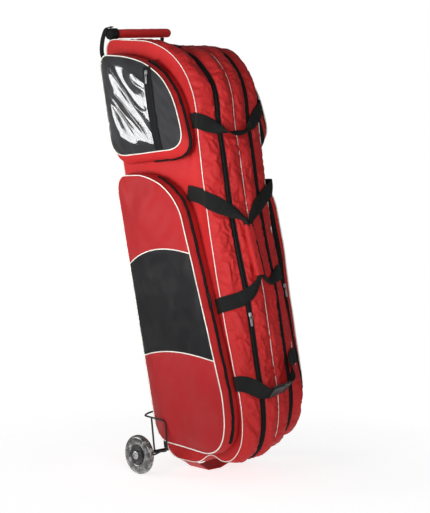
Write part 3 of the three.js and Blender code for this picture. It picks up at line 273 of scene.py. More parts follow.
class BagSizes(bpy.types.PropertyGroup):
    """Sizes of the soft surface that can be changed without changing the frame."""

    puff: FloatProperty(
        name="Panel puff", description="How far a front panel stands out between its seams",
        default=0.0062, min=0, max=0.012, unit="LENGTH",
    )
    drape: FloatProperty(
        name="Drape depth", description="Depth of the long soft folds along the front",
        default=0.0024, min=0, max=0.006, unit="LENGTH",
    )
    piping_radius: FloatProperty(
        name="Piping radius", description="Radius of the white cord in the seams",
        default=0.0017, min=0.001, max=0.004, unit="LENGTH",
    )
    webbing_thickness: FloatProperty(
        name="Webbing thickness", description="Thickness of the straps",
        default=0.0024, min=0.001, max=0.004, unit="LENGTH",
    )
    zip_width: FloatProperty(
        name="Zip width", description="Width of the tape on both sides of a zip's coil",
        default=0.018, min=0.01, max=0.03, unit="LENGTH",
    )
    coil_radius: FloatProperty(
        name="Coil radius", description="Radius of the coil in the middle of a zip",
        default=0.0028, min=0.001, max=0.004, unit="LENGTH",
    )


class BagColours(bpy.types.PropertyGroup):
    """Colours of the bag's materials, from the record's slots."""

    red_cloth: FloatVectorProperty(
        name="Red cloth", description="Woven polyester of the body", subtype="COLOR",
        size=3, min=0, max=1, default=SLOT_COLOURS["red_polyester"],
    )
    coated_red: FloatVectorProperty(
        name="Coated red", description="Smooth coated cloth of the lower pockets", subtype="COLOR",
        size=3, min=0, max=1, default=SLOT_COLOURS["coated_red"],
    )
    black_cloth: FloatVectorProperty(
        name="Black cloth", description="Black panels of the pockets", subtype="COLOR",
        size=3, min=0, max=1, default=SLOT_COLOURS["black_cloth"],
    )
    piping: FloatVectorProperty(
        name="Piping", description="Cord in the seams", subtype="COLOR",
        size=3, min=0, max=1, default=SLOT_COLOURS["white_piping"],
    )
    grip: FloatVectorProperty(
        name="Grip", description="Cloth sleeve of the pull grip", subtype="COLOR",
        size=3, min=0, max=1, default=SLOT_COLOURS["grip_pad"],
    )


class StageSettings(bpy.types.PropertyGroup):
    """Camera and light of the studio."""

    azimuth: FloatProperty(
        name="Azimuth", description="Where the camera stands round the bag, from the front",
        default=math.radians(-43), subtype="ANGLE",
    )
    elevation: FloatProperty(
        name="Elevation", description="Height of the camera over the horizon",
        default=math.radians(7), subtype="ANGLE",
    )
    distance: FloatProperty(
        name="Distance", description="From the camera to the point that it looks at",
        default=6.3, min=1, unit="LENGTH",
    )
    lens: FloatProperty(
        name="Lens", description="Focal length in millimetres",
        default=146.5, min=20, max=300,
    )
    key_power: FloatProperty(
        name="Key power", description="Watts of the large light at the camera's left",
        default=6.0, min=0, subtype="POWER",
    )
    fill_power: FloatProperty(
        name="Fill power", description="Watts of the soft light in front of the bag",
        default=7.5, min=0, subtype="POWER",
    )
    side_power: FloatProperty(
        name="Side power", description="Watts of the light panel that the window mirrors",
        default=24, min=0, subtype="POWER",
    )
    world_strength: FloatProperty(
        name="Surround strength", description="Light that the pale surround sheds on the bag",
        default=0.3, min=0, max=4,
    )


class BagSettings(bpy.types.PropertyGroup):
    """All settings of the bag."""

    sizes: PointerProperty(type=BagSizes)
    colours: PointerProperty(type=BagColours)
    stage: PointerProperty(type=StageSettings)


def settings():
    """The bag's settings in this scene."""
    return bpy.context.scene.fencing_bag


def size_mm(name):
    """A soft size in the bag's millimetres."""
    return getattr(settings().sizes, name) / MM


# Numbers and curves

def to_frame(points):
    """Bag millimetres to frame metres: leaned back about the X axis, then moved to the axle."""
    x, y, z = np.moveaxis(np.asarray(points, float), -1, 0)
    lean_y = AXLE[1] + y * math.cos(LEAN) + z * math.sin(LEAN)
    lean_z = AXLE[2] - y * math.sin(LEAN) + z * math.cos(LEAN)
    return np.stack([x, lean_y, lean_z], axis=-1) * MM


def smooth_step(low, high, value):
    """0 below low, 1 above high and a soft S between them."""
    share = np.clip((value - low) / (high - low), 0, 1)
    return share * share * (3 - 2 * share)


def scatter(column, row, seed):
    """A fixed number from 0 to 1 for each cell of an integer grid, by mixing the bits of its place."""
    mixed = column.astype(np.int64) * 374761393 + row.astype(np.int64) * 668265263 + seed * 974634719
    mixed = ((mixed ^ (mixed >> 13)) * 1274126177) & 0xFFFFFFFF
    return (mixed ^ (mixed >> 16)) / 0xFFFFFFFF


def noise(u, v, seed):
    """Soft noise from -1 to 1: scattered cell corners mixed with an S-curve between them."""
    u, v = np.broadcast_arrays(np.asarray(u, float), np.asarray(v, float))
    column, row = np.floor(u), np.floor(v)
    across, along = smooth_step(0, 1, u - column), smooth_step(0, 1, v - row)
    low = scatter(column, row, seed) * (1 - across) + scatter(column + 1, row, seed) * across
    high = scatter(column, row + 1, seed) * (1 - across) + scatter(column + 1, row + 1, seed) * across
    return 2 * (low * (1 - along) + high * along) - 1


def unit(vectors):
    """Vectors divided by their lengths."""
    return vectors / np.maximum(np.linalg.norm(vectors, axis=-1, keepdims=True), 1e-12)


def drawn(points, share):
    """Points of a curve pulled by control points: neighbours are mixed by share until one is left."""
    layer = [np.asarray(point, float) for point in points]
    while len(layer) > 1:
        layer = [a + (b - a) * share[:, None] for a, b in zip(layer, layer[1:])]
    return layer[0]


class Outline:
    """A closed outline in the y-z plane, walked in even steps, with its outward normals."""

    SAMPLES = 240
    NORMAL_REACH = 3

    def __init__(self, segments, step):
        share = np.arange(self.SAMPLES) / self.SAMPLES
        starts = [segments[i - 1]["to"] for i in range(len(segments))]
        line = np.concatenate([
            drawn((start, *segment.get("via", ()), segment["to"]), share)
            for start, segment in zip(starts, segments)
        ])
        loop = np.vstack([line, line[:1]])
        self.walk = np.concatenate([[0], np.cumsum(np.hypot(*np.diff(loop, axis=0).T))])
        self.length = self.walk[-1]
        self.count = int(round(self.length / step))
        self.s = np.arange(self.count) * self.length / self.count
        self.y, self.z = (np.interp(self.s, self.walk, loop[:, k]) for k in (0, 1))
        reach = self.NORMAL_REACH
        along_y = np.roll(self.y, -reach) - np.roll(self.y, reach)
        along_z = np.roll(self.z, -reach) - np.roll(self.z, reach)
        size = np.hypot(along_y, along_z)
        self.ny, self.nz = along_z / size, -along_y / size

    def place(self, segment, share):
        """Distance walked to a share of a segment."""
        return np.interp((segment + share) * self.SAMPLES, np.arange(len(self.walk)), self.walk)

    def at(self, s):
        """y, z and the normal's y and z at walked distances."""
        values = (self.y, self.z, self.ny, self.nz)
        return [np.interp(s, self.s, value, period=self.length) for value in values]


def spline(rows, count):
    """Curve through rows of numbers: knots spaced by the root of each span, and neighbouring rows mixed
    between their knots in three rounds until one is left."""
    rows = np.asarray(rows, float)
    rows = np.vstack([2 * rows[0] - rows[1], rows, 2 * rows[-1] - rows[-2]])
    spot = np.linspace(0, len(rows) - 3, count)
    cell = np.minimum(spot.astype(int), len(rows) - 4)
    p0, p1, p2, p3 = (rows[cell + k] for k in range(4))
    knots = [np.zeros(count)]
    for a, b in ((p0, p1), (p1, p2), (p2, p3)):
        knots.append(knots[-1] + np.maximum(np.linalg.norm(b - a, axis=1) ** 0.5, 1e-6))
    t0, t1, t2, t3 = (knot[:, None] for knot in knots)
    t = t1 + (spot - cell)[:, None] * (t2 - t1)

    def mix(a, b, start, end):
        """Two rows mixed by how far t lies between their knots."""
        return (end - t) / (end - start) * a + (t - start) / (end - start) * b

    a1, a2, a3 = mix(p0, p1, t0, t1), mix(p1, p2, t1, t2), mix(p2, p3, t2, t3)
    return mix(mix(a1, a2, t0, t2), mix(a2, a3, t1, t3), t1, t2)


def bent(corners, bend, steps=7):
    """Path through corner points, each corner rounded by a pulled curve that starts bend before it."""
    corners = [np.asarray(corner, float) for corner in corners]
    share = np.linspace(0, 1, steps)
    path = [corners[0][None]]
    for before, corner, after in zip(corners, corners[1:], corners[2:]):
        reach = min(bend, 0.45 * np.linalg.norm(before - corner), 0.45 * np.linalg.norm(after - corner))
        start, end = corner + reach * unit(before - corner), corner + reach * unit(after - corner)
        path.append(drawn((start, corner, end), share))
    path.append(corners[-1][None])
    return np.concatenate(path)


def steps_along(path):
    """Distance walked along a path."""
    return np.concatenate([[0], np.cumsum(np.linalg.norm(np.diff(path, axis=0), axis=1))])


# Grids and meshes

def grid(points, uv=None, loop=False, flip=False):
    """A grid of points, rows by columns, with its surface coordinates in metres. The rows may close."""
    points = np.asarray(points, float)
    if uv is None:
        closed = np.concatenate([points, points[:1]]) if loop else points
        u = np.concatenate([
            np.zeros((1, closed.shape[1])),
            np.cumsum(np.linalg.norm(np.diff(closed, axis=0), axis=-1), axis=0),
        ])
        v = np.concatenate([
            np.zeros((closed.shape[0], 1)),
            np.cumsum(np.linalg.norm(np.diff(closed, axis=1), axis=-1), axis=1),
        ], axis=1)
        uv = np.stack([v, u], axis=-1) * MM
    return {"points": points, "uv": uv, "loop": loop, "flip": flip}


def normals_of(points, loop=False):
    """Unit normals of a grid: the cross product of its two central differences."""
    if loop:
        along = np.roll(points, -1, axis=0) - np.roll(points, 1, axis=0)
    else:
        along = np.gradient(points, axis=0)
    return unit(np.cross(along, np.gradient(points, axis=1)))


def walled(points, thick, edge=1.0):
    """A sheet with thickness: a band round the grid's two offset copies, and a cap at each end."""
    normal = normals_of(points)
    taper = 1 - (1 - edge) * np.abs(np.linspace(-1, 1, points.shape[1])) ** 6
    half = (thick / 2) * taper[None, :, None] * normal
    over, under = points + half, points - half
    ring = np.concatenate([over, under[:, ::-1], over[:, :1]], axis=1)
    caps = (np.stack([over[0], under[0]]), np.stack([over[-1], under[-1]]))
    return [grid(ring), grid(caps[0], flip=True), grid(caps[1])]


def swept(path, radius, sides=12, hint=(1, 0, 0), loop=False, capped=True):
    """A round tube along a path: circles in the plane across the path, closed to a point at its ends."""
    path = np.asarray(path, float)
    if loop:
        ahead = unit(np.roll(path, -1, axis=0) - np.roll(path, 1, axis=0))
    else:
        ahead = unit(np.gradient(path, axis=0))
    wide = unit(np.asarray(hint, float) - (ahead @ np.asarray(hint, float))[:, None] * ahead)
    other = np.cross(ahead, wide)
    angle = np.linspace(0, 2 * math.pi, sides + 1)
    radius = np.broadcast_to(np.asarray(radius, float), (len(path),))[:, None, None]
    spokes = np.cos(angle)[None, :, None] * wide[:, None] + np.sin(angle)[None, :, None] * other[:, None]
    points = path[:, None] + radius * spokes
    if capped and not loop:
        ends = [np.repeat(path[k][None, None], sides + 1, axis=1) for k in (0, -1)]
        points = np.concatenate([ends[0], points, ends[1]])
    return grid(points, loop=loop, flip=True)


def turned(profile, sides=64, centre=(0, 0, 0), axis=0):
    """A turned piece about an axis: its profile of radius and height carried round a circle."""
    radius, height = np.asarray(profile, float).T
    angle = np.linspace(0, 2 * math.pi, sides, endpoint=False)
    around = [radius[None] * np.cos(angle)[:, None], radius[None] * np.sin(angle)[:, None]]
    parts = [np.broadcast_to(height[None], around[0].shape), *around]
    points = np.stack(parts[-axis:] + parts[:-axis] if axis else parts, axis=-1) + np.asarray(centre)
    return grid(points, loop=True)


def soft_box(half, power, frames=24):
    """A box with round edges: a superellipsoid, cosines and sines raised to a small power."""
    around = np.linspace(0, 2 * math.pi, 2 * frames, endpoint=False)[:, None]
    up = np.linspace(-math.pi / 2, math.pi / 2, frames)[None]

    def soft(value):
        """A cosine or sine raised to the power, with its sign kept."""
        return np.sign(value) * np.abs(value) ** power

    x = half[0] * soft(np.cos(around)) * soft(np.cos(up))
    y = half[1] * soft(np.sin(around)) * soft(np.cos(up))
    z = half[2] * soft(np.sin(up)) + 0 * around
    return np.stack([x, y, z], axis=-1)


def plate(outline, thick, bevel, rows=120):
    """A plate with bevelled edges: its outline drawn towards the middle at the top and the bottom."""
    corners = np.asarray(outline, float)
    loop = np.vstack([corners, corners[:1]])
    walk = steps_along(loop)
    spot = np.linspace(0, walk[-1], rows, endpoint=False)
    rim = np.stack([np.interp(spot, walk, loop[:, k]) for k in (0, 1)], axis=-1)
    middle = (corners.min(axis=0) + corners.max(axis=0)) / 2
    reach = np.linalg.norm(rim - middle, axis=1)[:, None]
    half = thick / 2
    profile = ((None, -half), (bevel, -half), (bevel * 0.3, bevel * 0.3 - half), (0, bevel - half),
               (0, half - bevel), (bevel * 0.3, half - bevel * 0.3), (bevel, half), (None, half))
    columns = []
    for inset, height in profile:
        share = 0 if inset is None else 1 - inset / reach
        columns.append(np.column_stack([middle + share * (rim - middle), np.full(rows, height)]))
    return np.stack(columns, axis=1)


def put(points, at, along, across, out):
    """Points of a small piece turned into three directions and moved to a place."""
    turn = np.stack([along, across, out])
    return points @ turn + np.asarray(at)


def mesh_of(name, parts, in_frame, weld=True):
    """A mesh from grids: quads between neighbouring rows and columns, welded where points meet."""
    places, corners, coordinates, offset = [], [], [], 0
    for part in parts:
        points = part["points"]
        rows, columns = points.shape[:2]
        spans = rows if part["loop"] else rows - 1
        row, column = np.meshgrid(np.arange(spans), np.arange(columns - 1), indexing="ij")
        steps = ((0, 0), (1, 0), (1, 1), (0, 1))
        if part["flip"]:
            steps = steps[::-1]
        corner = [((row + i) % rows) * columns + column + j for i, j in steps]
        corners.append(offset + np.stack(corner, axis=-1).reshape(-1, 4))
        coordinate = [part["uv"][row + i, column + j] for i, j in steps]
        coordinates.append(np.stack(coordinate, axis=2).reshape(-1, 2))
        places.append((points * MM if in_frame else to_frame(points)).reshape(-1, 3))
        offset += rows * columns
    quads = np.concatenate(corners)
    mesh = bpy.data.meshes.new(name)
    mesh.vertices.add(offset)
    mesh.vertices.foreach_set("co", np.concatenate(places).astype(np.float32).ravel())
    mesh.loops.add(quads.size)
    mesh.loops.foreach_set("vertex_index", quads.astype(np.int32).ravel())
    mesh.polygons.add(len(quads))
    mesh.polygons.foreach_set("loop_start", np.arange(0, quads.size, 4, dtype=np.int32))
    mesh.update(calc_edges=True)
    layer = mesh.uv_layers.new(name="surface")
    layer.data.foreach_set("uv", np.concatenate(coordinates).astype(np.float32).ravel())
    if weld:
        shape = bmesh.new()
        shape.from_mesh(mesh)
        bmesh.ops.remove_doubles(shape, verts=shape.verts, dist=2e-6)
        bmesh.ops.dissolve_degenerate(shape, edges=shape.edges, dist=1e-7)
        shape.to_mesh(mesh)
        shape.free()
    mesh.polygons.foreach_set("use_smooth", np.ones(len(mesh.polygons), dtype=bool))
    mesh.set_sharp_from_angle(angle=math.radians(48))
    return mesh


def settled(points, held, reach):
    """A grid of cloth let go between the places that hold it: its cloth is a little too long, air
    presses on it from inside, and a point's move m is eased to m * reach / (reach + m)."""
    rest = to_frame(points)
    mesh = mesh_of("cloth_at_work", [grid(points)], False, weld=False)
    obj = bpy.data.objects.new("cloth_at_work", mesh)
    scene = bpy.context.scene
    scene.collection.objects.link(obj)
    seams = obj.vertex_groups.new(name="held")
    seams.add(np.flatnonzero(held.ravel()).tolist(), 1.0, "REPLACE")
    cloth = obj.modifiers.new("cloth", "CLOTH")
    rules = cloth.settings
    rules.quality = 6
    rules.mass = 0.004
    rules.tension_stiffness = rules.compression_stiffness = 20
    rules.shear_stiffness = 8
    rules.bending_stiffness = CLOTH["bend"]
    rules.tension_damping = rules.compression_damping = rules.shear_damping = 8
    rules.vertex_group_mass = seams.name
    rules.shrink_min = -CLOTH["growth"]
    rules.use_pressure = True
    rules.uniform_pressure_force = CLOTH["pressure"]
    rules.effector_weights.gravity = 0
    cloth.point_cache.frame_end = CLOTH["frames"]
    for number in range(1, CLOTH["frames"] + 1):
        scene.frame_set(number)
    worked = obj.evaluated_get(bpy.context.evaluated_depsgraph_get()).data
    places = np.empty(rest.size, dtype=np.float32)
    worked.vertices.foreach_get("co", places)
    scene.frame_set(1)
    bpy.data.objects.remove(obj)
    bpy.data.meshes.remove(mesh)
    move = (places.reshape(rest.shape) - rest) / MM
    size = np.linalg.norm(move, axis=-1, keepdims=True)
    move *= reach[..., None] / np.maximum(reach[..., None] + size, 1e-9)
    x, y, z = np.moveaxis(move, -1, 0)
    upright_y = y * math.cos(LEAN) - z * math.sin(LEAN)
    upright_z = y * math.sin(LEAN) + z * math.cos(LEAN)
    return points + np.stack([x, upright_y, upright_z], axis=-1)


def piece(name, parts, finish, nodes=(), body="bag", in_frame=False):
    """An object made of grids that rides on a body, with its material and replaced nodes."""
    obj = bpy.data.objects.new(name, mesh_of(name, parts, in_frame))
    bpy.context.scene.collection.objects.link(obj)
    obj.data.materials.append(finish)
    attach(obj, body)
    if nodes:
        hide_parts(*nodes)
    return obj


# Materials

class Finish:
    """A material under construction: a Principled shader and short calls that add its nodes."""

    def __init__(self, name, **sockets):
        self.material = bpy.data.materials.new(name)
        self.material.use_nodes = True
        self.tree = self.material.node_tree
        self.shader = self.tree.nodes["Principled BSDF"]
        for socket, value in sockets.items():
            title = socket.replace("_", " ").title().replace("Ior", "IOR")
            self.shader.inputs[title].default_value = value

    def add(self, kind, inputs, **options):
        """A node with its options set and its inputs linked or filled in."""
        node = self.tree.nodes.new(kind)
        for option, value in options.items():
            setattr(node, option, value)
        for socket, value in inputs.items():
            if isinstance(value, bpy.types.NodeSocket):
                self.tree.links.new(value, node.inputs[socket])
            else:
                node.inputs[socket].default_value = value
        return node

    def place(self, kind="Object", scale=(1, 1, 1), turn=0.0):
        """Coordinates of the piece, scaled and turned about their third axis."""
        source = self.add("ShaderNodeTexCoord", {}).outputs[kind]
        inputs = {"Vector": source, "Scale": scale, "Rotation": (0, 0, turn)}
        return self.add("ShaderNodeMapping", inputs).outputs[0]

    def noise(self, vector, scale, detail=3.0, roughness=0.55):
        """Soft patches, so many to the metre."""
        inputs = {"Vector": vector, "Scale": scale, "Detail": detail, "Roughness": roughness}
        return self.add("ShaderNodeTexNoise", inputs).outputs[0]

    def threads(self, vector, period, way):
        """Round threads side by side: a sine wave with that period in metres."""
        inputs = {"Vector": vector, "Scale": math.pi / 10 / period, "Distortion": 0.0}
        return self.add("ShaderNodeTexWave", inputs, bands_direction=way).outputs[1]

    def sum(self, first, second, operation="ADD"):
        """Two numbers brought together by a sum."""
        return self.add("ShaderNodeMath", {0: first, 1: second}, operation=operation).outputs[0]

    def colour(self, factor, *stops):
        """Colours that follow a number, each stop a place and a colour."""
        ramp = self.add("ShaderNodeValToRGB", {"Fac": factor})
        band = ramp.color_ramp
        while len(band.elements) < len(stops):
            band.elements.new(0.5)
        for element, (at, colour) in zip(band.elements, stops):
            element.position = at
            element.color = (*colour, 1)
        self.tree.links.new(ramp.outputs[0], self.shader.inputs["Base Color"])

    def rough(self, factor, low, high):
        """Roughness between two values that follows a number."""
        inputs = {"Value": factor, "To Min": low, "To Max": high}
        spread = self.add("ShaderNodeMapRange", inputs)
        self.tree.links.new(spread.outputs[0], self.shader.inputs["Roughness"])

    def bump(self, height, depth):
        """Relief on the surface, over any relief that the material already has."""
        inputs = {"Height": height, "Distance": depth}
        if self.shader.inputs["Normal"].links:
            inputs["Normal"] = self.shader.inputs["Normal"].links[0].from_socket
        node = self.add("ShaderNodeBump", inputs)
        self.tree.links.new(node.outputs[0], self.shader.inputs["Normal"])


def shade(colour, factor):
    """A colour made darker or paler by a factor."""
    return tuple(min(1.0, channel * factor) for channel in colour)


def warm(colour):
    """A red of the record as studio light shows it, with a little more orange."""
    return tuple(channel * factor for channel, factor in zip(colour, (1.0, 1.16, 0.94)))


def woven(name, colour, thread, rough, spread=0.14, depth=0.00018, dents=(13.0, 0.003), **sockets):
    """Plain weave: warp and weft waves over soft dents, uneven dye in large patches and fine flecks.
    The thread and the depths are metres, and dents are how many to the metre and how deep."""
    made = Finish(name, **sockets)
    cloth = made.place("UV")
    weave = made.sum(made.threads(cloth, thread, "X"), made.threads(cloth, thread, "Y"), "MULTIPLY")
    place = made.place("Object")
    cloud = made.noise(place, 9.0, detail=4.0)
    fleck = made.noise(place, 420.0, detail=2.0)
    dye = made.sum(made.sum(cloud, fleck, "ADD"), weave, "ADD")
    made.colour(
        made.sum(dye, 3.0, "DIVIDE"),
        (0.25, shade(colour, 1 - spread)), (0.75, shade(colour, 1 + spread)),
    )
    made.rough(cloud, rough - 0.08, rough + 0.08)
    made.bump(made.noise(place, dents[0], detail=2.0, roughness=0.4), dents[1])
    made.bump(weave, depth)
    return made.material


FINISHES = {}


def finish(name):
    """A material by its plain name, made once."""
    if name not in FINISHES:
        FINISHES[name] = MAKERS[name]()
    return FINISHES[name]


def red_cloth():
    """Polyester of the body: plain weave, matt."""
    return woven("red_cloth", warm(settings().colours.red_cloth), 0.0011, 0.62, specular_ior_level=0.26)


def coated_red():
    """Coated cloth of the lower pockets: fine weave under a smooth coat with broad dents."""
    colour = shade(warm(settings().colours.coated_red), 0.7)
    return woven("coated_red", colour, 0.0007, 0.4, spread=0.08, depth=0.00008, dents=(5.5, 0.05),
                 specular_ior_level=0.12)


def black_cloth():
    """Black cloth of the lower pockets' panels, with broad dents."""
    colour = shade(settings().colours.black_cloth, 0.56)
    return woven("black_cloth", colour, 0.0008, 0.42, spread=0.25, depth=0.0001, dents=(6.0, 0.05),
                 specular_ior_level=0.13)


def faded_black():
    """Black cloth of the upper pockets: the record's black cloth made paler, as painted light for the extra
    light that falls on the upper faces.
    """
    colour = shade(settings().colours.black_cloth, 1.4)
    return woven("faded_black", colour, 0.0008, 0.46, spread=0.25, depth=0.0001, dents=(9.0, 0.02),
                 specular_ior_level=0.16)


def grip_cloth():
    """Dark red sleeve of the grip."""
    colour = shade(warm(settings().colours.grip), 2.9)
    return woven("grip_cloth", colour, 0.0009, 0.7, specular_ior_level=0.2)


def webbing():
    """Heavy webbing: ribs along the strap crossed by a fine weft, worn paler on the ribs."""
    made = Finish("webbing", specular_ior_level=0.12)
    strap = made.place("UV")
    rib = made.threads(strap, 0.0032, "X")
    weft = made.threads(strap, 0.0016, "Y")
    relief = made.sum(rib, weft, "MULTIPLY")
    wear = made.noise(made.place("Object"), 60.0)
    made.colour(
        made.sum(relief, wear, "MULTIPLY"),
        (0.0, (0.008, 0.009, 0.0085)), (0.6, (0.022, 0.023, 0.022)),
    )
    made.rough(wear, 0.62, 0.85)
    made.bump(relief, 0.0004)
    return made.material


def piping_cord():
    """Off-white cord cover: faint slanting weave and a little grime."""
    colour = settings().colours.piping
    made = Finish("piping_cord", sheen_weight=0.1)
    weave = made.threads(made.place("UV", turn=0.7), 0.0012, "X")
    grime = made.noise(made.place("Object"), 45.0, detail=5.0)
    made.colour(grime, (0.3, shade(colour, 0.86)), (0.62, shade(colour, 1.06)))
    made.rough(grime, 0.4, 0.58)
    made.bump(weave, 0.0001)
    return made.material


def zip_tape():
    """Knitted tape: fine ribs along the zip and flecks."""
    made = Finish("zip_tape", specular_ior_level=0.1)
    tape = made.place("UV")
    knit = made.sum(made.threads(tape, 0.0012, "X"), made.threads(tape, 0.0018, "Y"), "MULTIPLY")
    fleck = made.noise(made.place("Object"), 300.0)
    made.colour(
        made.sum(knit, fleck, "MULTIPLY"),
        (0.0, (0.006, 0.006, 0.0065)), (0.7, (0.016, 0.017, 0.017)),
    )
    made.rough(fleck, 0.5, 0.75)
    made.bump(knit, 0.0002)
    return made.material


def clear_film():
    """Soft clear film: glossy, with faint haze where it was handled."""
    made = Finish("clear_film", transmission_weight=1.0, ior=1.6)
    haze = made.noise(made.place("Object"), 26.0, detail=5.0)
    made.colour(haze, (0.3, (0.66, 0.67, 0.7)), (0.7, (0.8, 0.81, 0.83)))
    made.rough(haze, 0.03, 0.1)
    return made.material


def black_plastic():
    """Moulded plastic: a fine spark grain and slightly uneven gloss."""
    made = Finish("black_plastic", specular_ior_level=0.5)
    place = made.place("Object")
    grain = made.noise(place, 900.0, detail=2.0)
    cloud = made.noise(place, 30.0)
    made.colour(cloud, (0.3, (0.010, 0.010, 0.011)), (0.7, (0.018, 0.018, 0.019)))
    made.rough(cloud, 0.3, 0.45)
    made.bump(grain, 0.00008)
    return made.material


def bright_metal():
    """Plated metal: brushed along one way, with dull spots."""
    made = Finish("bright_metal", metallic=1.0)
    brushed = made.noise(made.place("Object", scale=(1, 1, 14)), 160.0, detail=2.0)
    made.colour(brushed, (0.3, (0.32, 0.32, 0.33)), (0.7, (0.55, 0.55, 0.56)))
    made.rough(brushed, 0.34, 0.5)
    made.bump(brushed, 0.00003)
    return made.material


def black_metal():
    """Black painted steel: orange peel in the paint and paler dust."""
    made = Finish("black_metal", specular_ior_level=0.35)
    place = made.place("Object")
    peel = made.noise(place, 500.0, detail=1.0)
    dust = made.noise(place, 35.0, detail=5.0)
    made.colour(dust, (0.35, (0.004, 0.004, 0.0045)), (0.75, (0.011, 0.011, 0.012)))
    made.rough(dust, 0.34, 0.52)
    made.bump(peel, 0.0001)
    return made.material


def smoky_tyre():
    """Clear smoky tyre: streaks that run out from the hub, bright flecks and a glossy skin."""
    made = Finish("smoky_tyre", coat_weight=1.0, coat_roughness=0.12, ior=1.5)
    around = made.place("UV", scale=(0.25, 1, 1))
    streak = made.noise(around, 260.0, detail=4.0, roughness=0.7)
    cloud = made.noise(made.place("Object"), 70.0, detail=3.0)
    made.colour(
        made.sum(made.sum(streak, cloud, "ADD"), 2.0, "DIVIDE"),
        (0.4, (0.009, 0.009, 0.008)), (0.48, (0.04, 0.038, 0.036)), (0.54, (0.13, 0.125, 0.12)),
        (0.62, (0.5, 0.48, 0.46)),
    )
    made.rough(cloud, 0.2, 0.36)
    return made.material


MAKERS = {maker.__name__: maker for maker in (
    red_cloth, coated_red, black_cloth, faded_black, grip_cloth, webbing, piping_cord, zip_tape,
    clear_film, black_plastic, bright_metal, black_metal, smoky_tyre,
)}


# Body surface

BODY = Outline(BODY_OUTLINE, 4.4)
LOWER = Outline(LOWER_POCKET["outline"], 3.4)
UPPER = Outline(UPPER_POCKET["outline"], 2.8)
FRONT = np.flatnonzero(BODY.ny < -0.35)
FRONT = FRONT[np.argsort(BODY.z[FRONT])]


def front_bulge(z):
    """Bulge of the front's middle at a height: the table, rounded off over a few centimetres."""
    heights, bulges = np.array(list(FRONT_BULGE)), np.array(list(FRONT_BULGE.values()))
    spread = np.linspace(-45, 45, 9)
    weights = np.exp(-((spread / 30) ** 2))
    layers = [weight * np.interp(z + step, heights, bulges) for weight, step in zip(weights, spread)]
    return sum(layers) / weights.sum()


def body_out(x, z, ny):
    """How far the plain body stands out from its outline: the bulge, fading to the side seams."""
    facing = np.maximum(0, -ny) ** BULGE_FADE
    return front_bulge(z) * facing * (1 - np.abs(x / BODY_HALF) ** BULGE_POWER)


def strap_line(rows, per_span=14):
    """A strap's middle line on the unrolled skin: place, lift, width and twist at even shares."""
    rows = np.asarray(rows, float)
    count = (len(rows) - 1) * per_span + 1
    line = spline(rows[:, :3], count)
    index = np.linspace(0, len(rows) - 1, count)
    extra = [np.interp(index, np.arange(len(rows)), rows[:, k]) for k in (3, 4)]
    return np.column_stack([line, *extra])


def strap_ceiling(x, z):
    """The height that each strap leaves for the cloth under it, rising away from the strap's edges."""
    ceiling = np.full(x.shape, OPEN_CEILING)
    for rows in STRAPS.values():
        p, at, lift, width, twist = strap_line(rows, 5).T
        dip = np.abs(np.sin(np.radians(twist))) * width / 2
        away = np.hypot(x[..., None] - p, z[..., None] - at) - width / 2
        room = lift - dip - STRAP_CLEARANCE + 0.5 * np.maximum(0, away)
        ceiling = np.minimum(ceiling, room.min(axis=-1))
    return ceiling


# Creases in the cloth of the front: both ends, width and height in millimetres
CREASES = (
    (-110, 930, -76, 800, 9, -3.0), (-96, 900, -72, 700, 7, 2.4), (-40, 895, -52, 760, 7, 2.6),
    (-24, 880, -6, 740, 8, -2.2), (18, 880, 46, 700, 9, 2.6), (104, 930, 84, 780, 10, -3.0),
    (-112, 690, -96, 500, 9, 2.6), (-86, 660, -72, 470, 7, -2.4), (-44, 640, -50, 470, 6, 2.4),
    (46, 650, 50, 500, 6, 2.4), (90, 690, 76, 520, 9, -2.6), (-108, 380, -84, 250, 10, -3.2),
    (-98, 372, -70, 200, 7, 2.6), (-40, 420, -46, 250, 8, 2.4), (-24, 300, -10, 190, 9, -3.0),
    (12, 420, 30, 220, 9, -2.6), (40, 400, 48, 240, 6, 2.4), (108, 450, 84, 300, 10, 3.0),
    (-116, 60, -72, -6, 9, -5.0), (-112, 24, -78, -34, 8, 4.6), (-104, 130, -74, 40, 8, 3.0),
    (-20, 110, -40, 0, 10, 3.0), (30, 110, 46, 10, 9, -3.0), (-8, 205, -24, 120, 12, -4.0),
)


def creases(x, z):
    """Sum of the listed creases: each a bell across its line that fades out towards both ends."""
    total = np.zeros(np.broadcast(x, z).shape)
    for x0, z0, x1, z1, width, height in CREASES:
        length = math.hypot(x1 - x0, z1 - z0)
        along = ((x - x0) * (x1 - x0) + (z - z0) * (z1 - z0)) / length ** 2
        away = ((x - x0) * (z1 - z0) - (z - z0) * (x1 - x0)) / length
        taper = smooth_step(-0.15, 0.3, along) * (1 - smooth_step(0.7, 1.15, along))
        total += height * np.exp(-((away / width) ** 2)) * taper
    return total


def hitch(x, y, z):
    """How far the bottom of the front is pulled up: a little at the left and more to the right."""
    front = smooth_step(*HITCH["front"], -y)
    low = 1 - smooth_step(*HITCH["up"], z)
    return (HITCH["left"] + HITCH["more_right"] * smooth_step(*HITCH["across"], x)) * front * low


def raised(x, y, z):
    """The body's height after its bottom is pulled up at the front and tucked in over the sling, and
    its shoulder has sunk to the right."""
    tuck = TUCK["depth"] * np.exp(-(((y - TUCK["y"]) / TUCK["reach"]) ** 2))
    tuck = tuck * (1 - smooth_step(*TUCK["up"], z))
    sunk = SUNK_SHOULDER["depth"] * smooth_step(*SUNK_SHOULDER["up"], z)
    sunk = sunk * smooth_step(*SUNK_SHOULDER["across"], x)
    return z + hitch(x, y, z) + tuck - sunk


def zip_valley(x, z):
    """Depth of the valley that the left front zip pulls into the shoulder of the stuffed bag."""
    height = smooth_step(*ZIP_VALLEY["begins"], z) * (1 - smooth_step(*ZIP_VALLEY["ends"], z))
    return ZIP_VALLEY["depth"] * np.exp(-(((x + ZIP_X) / ZIP_VALLEY["reach"]) ** 2)) * height


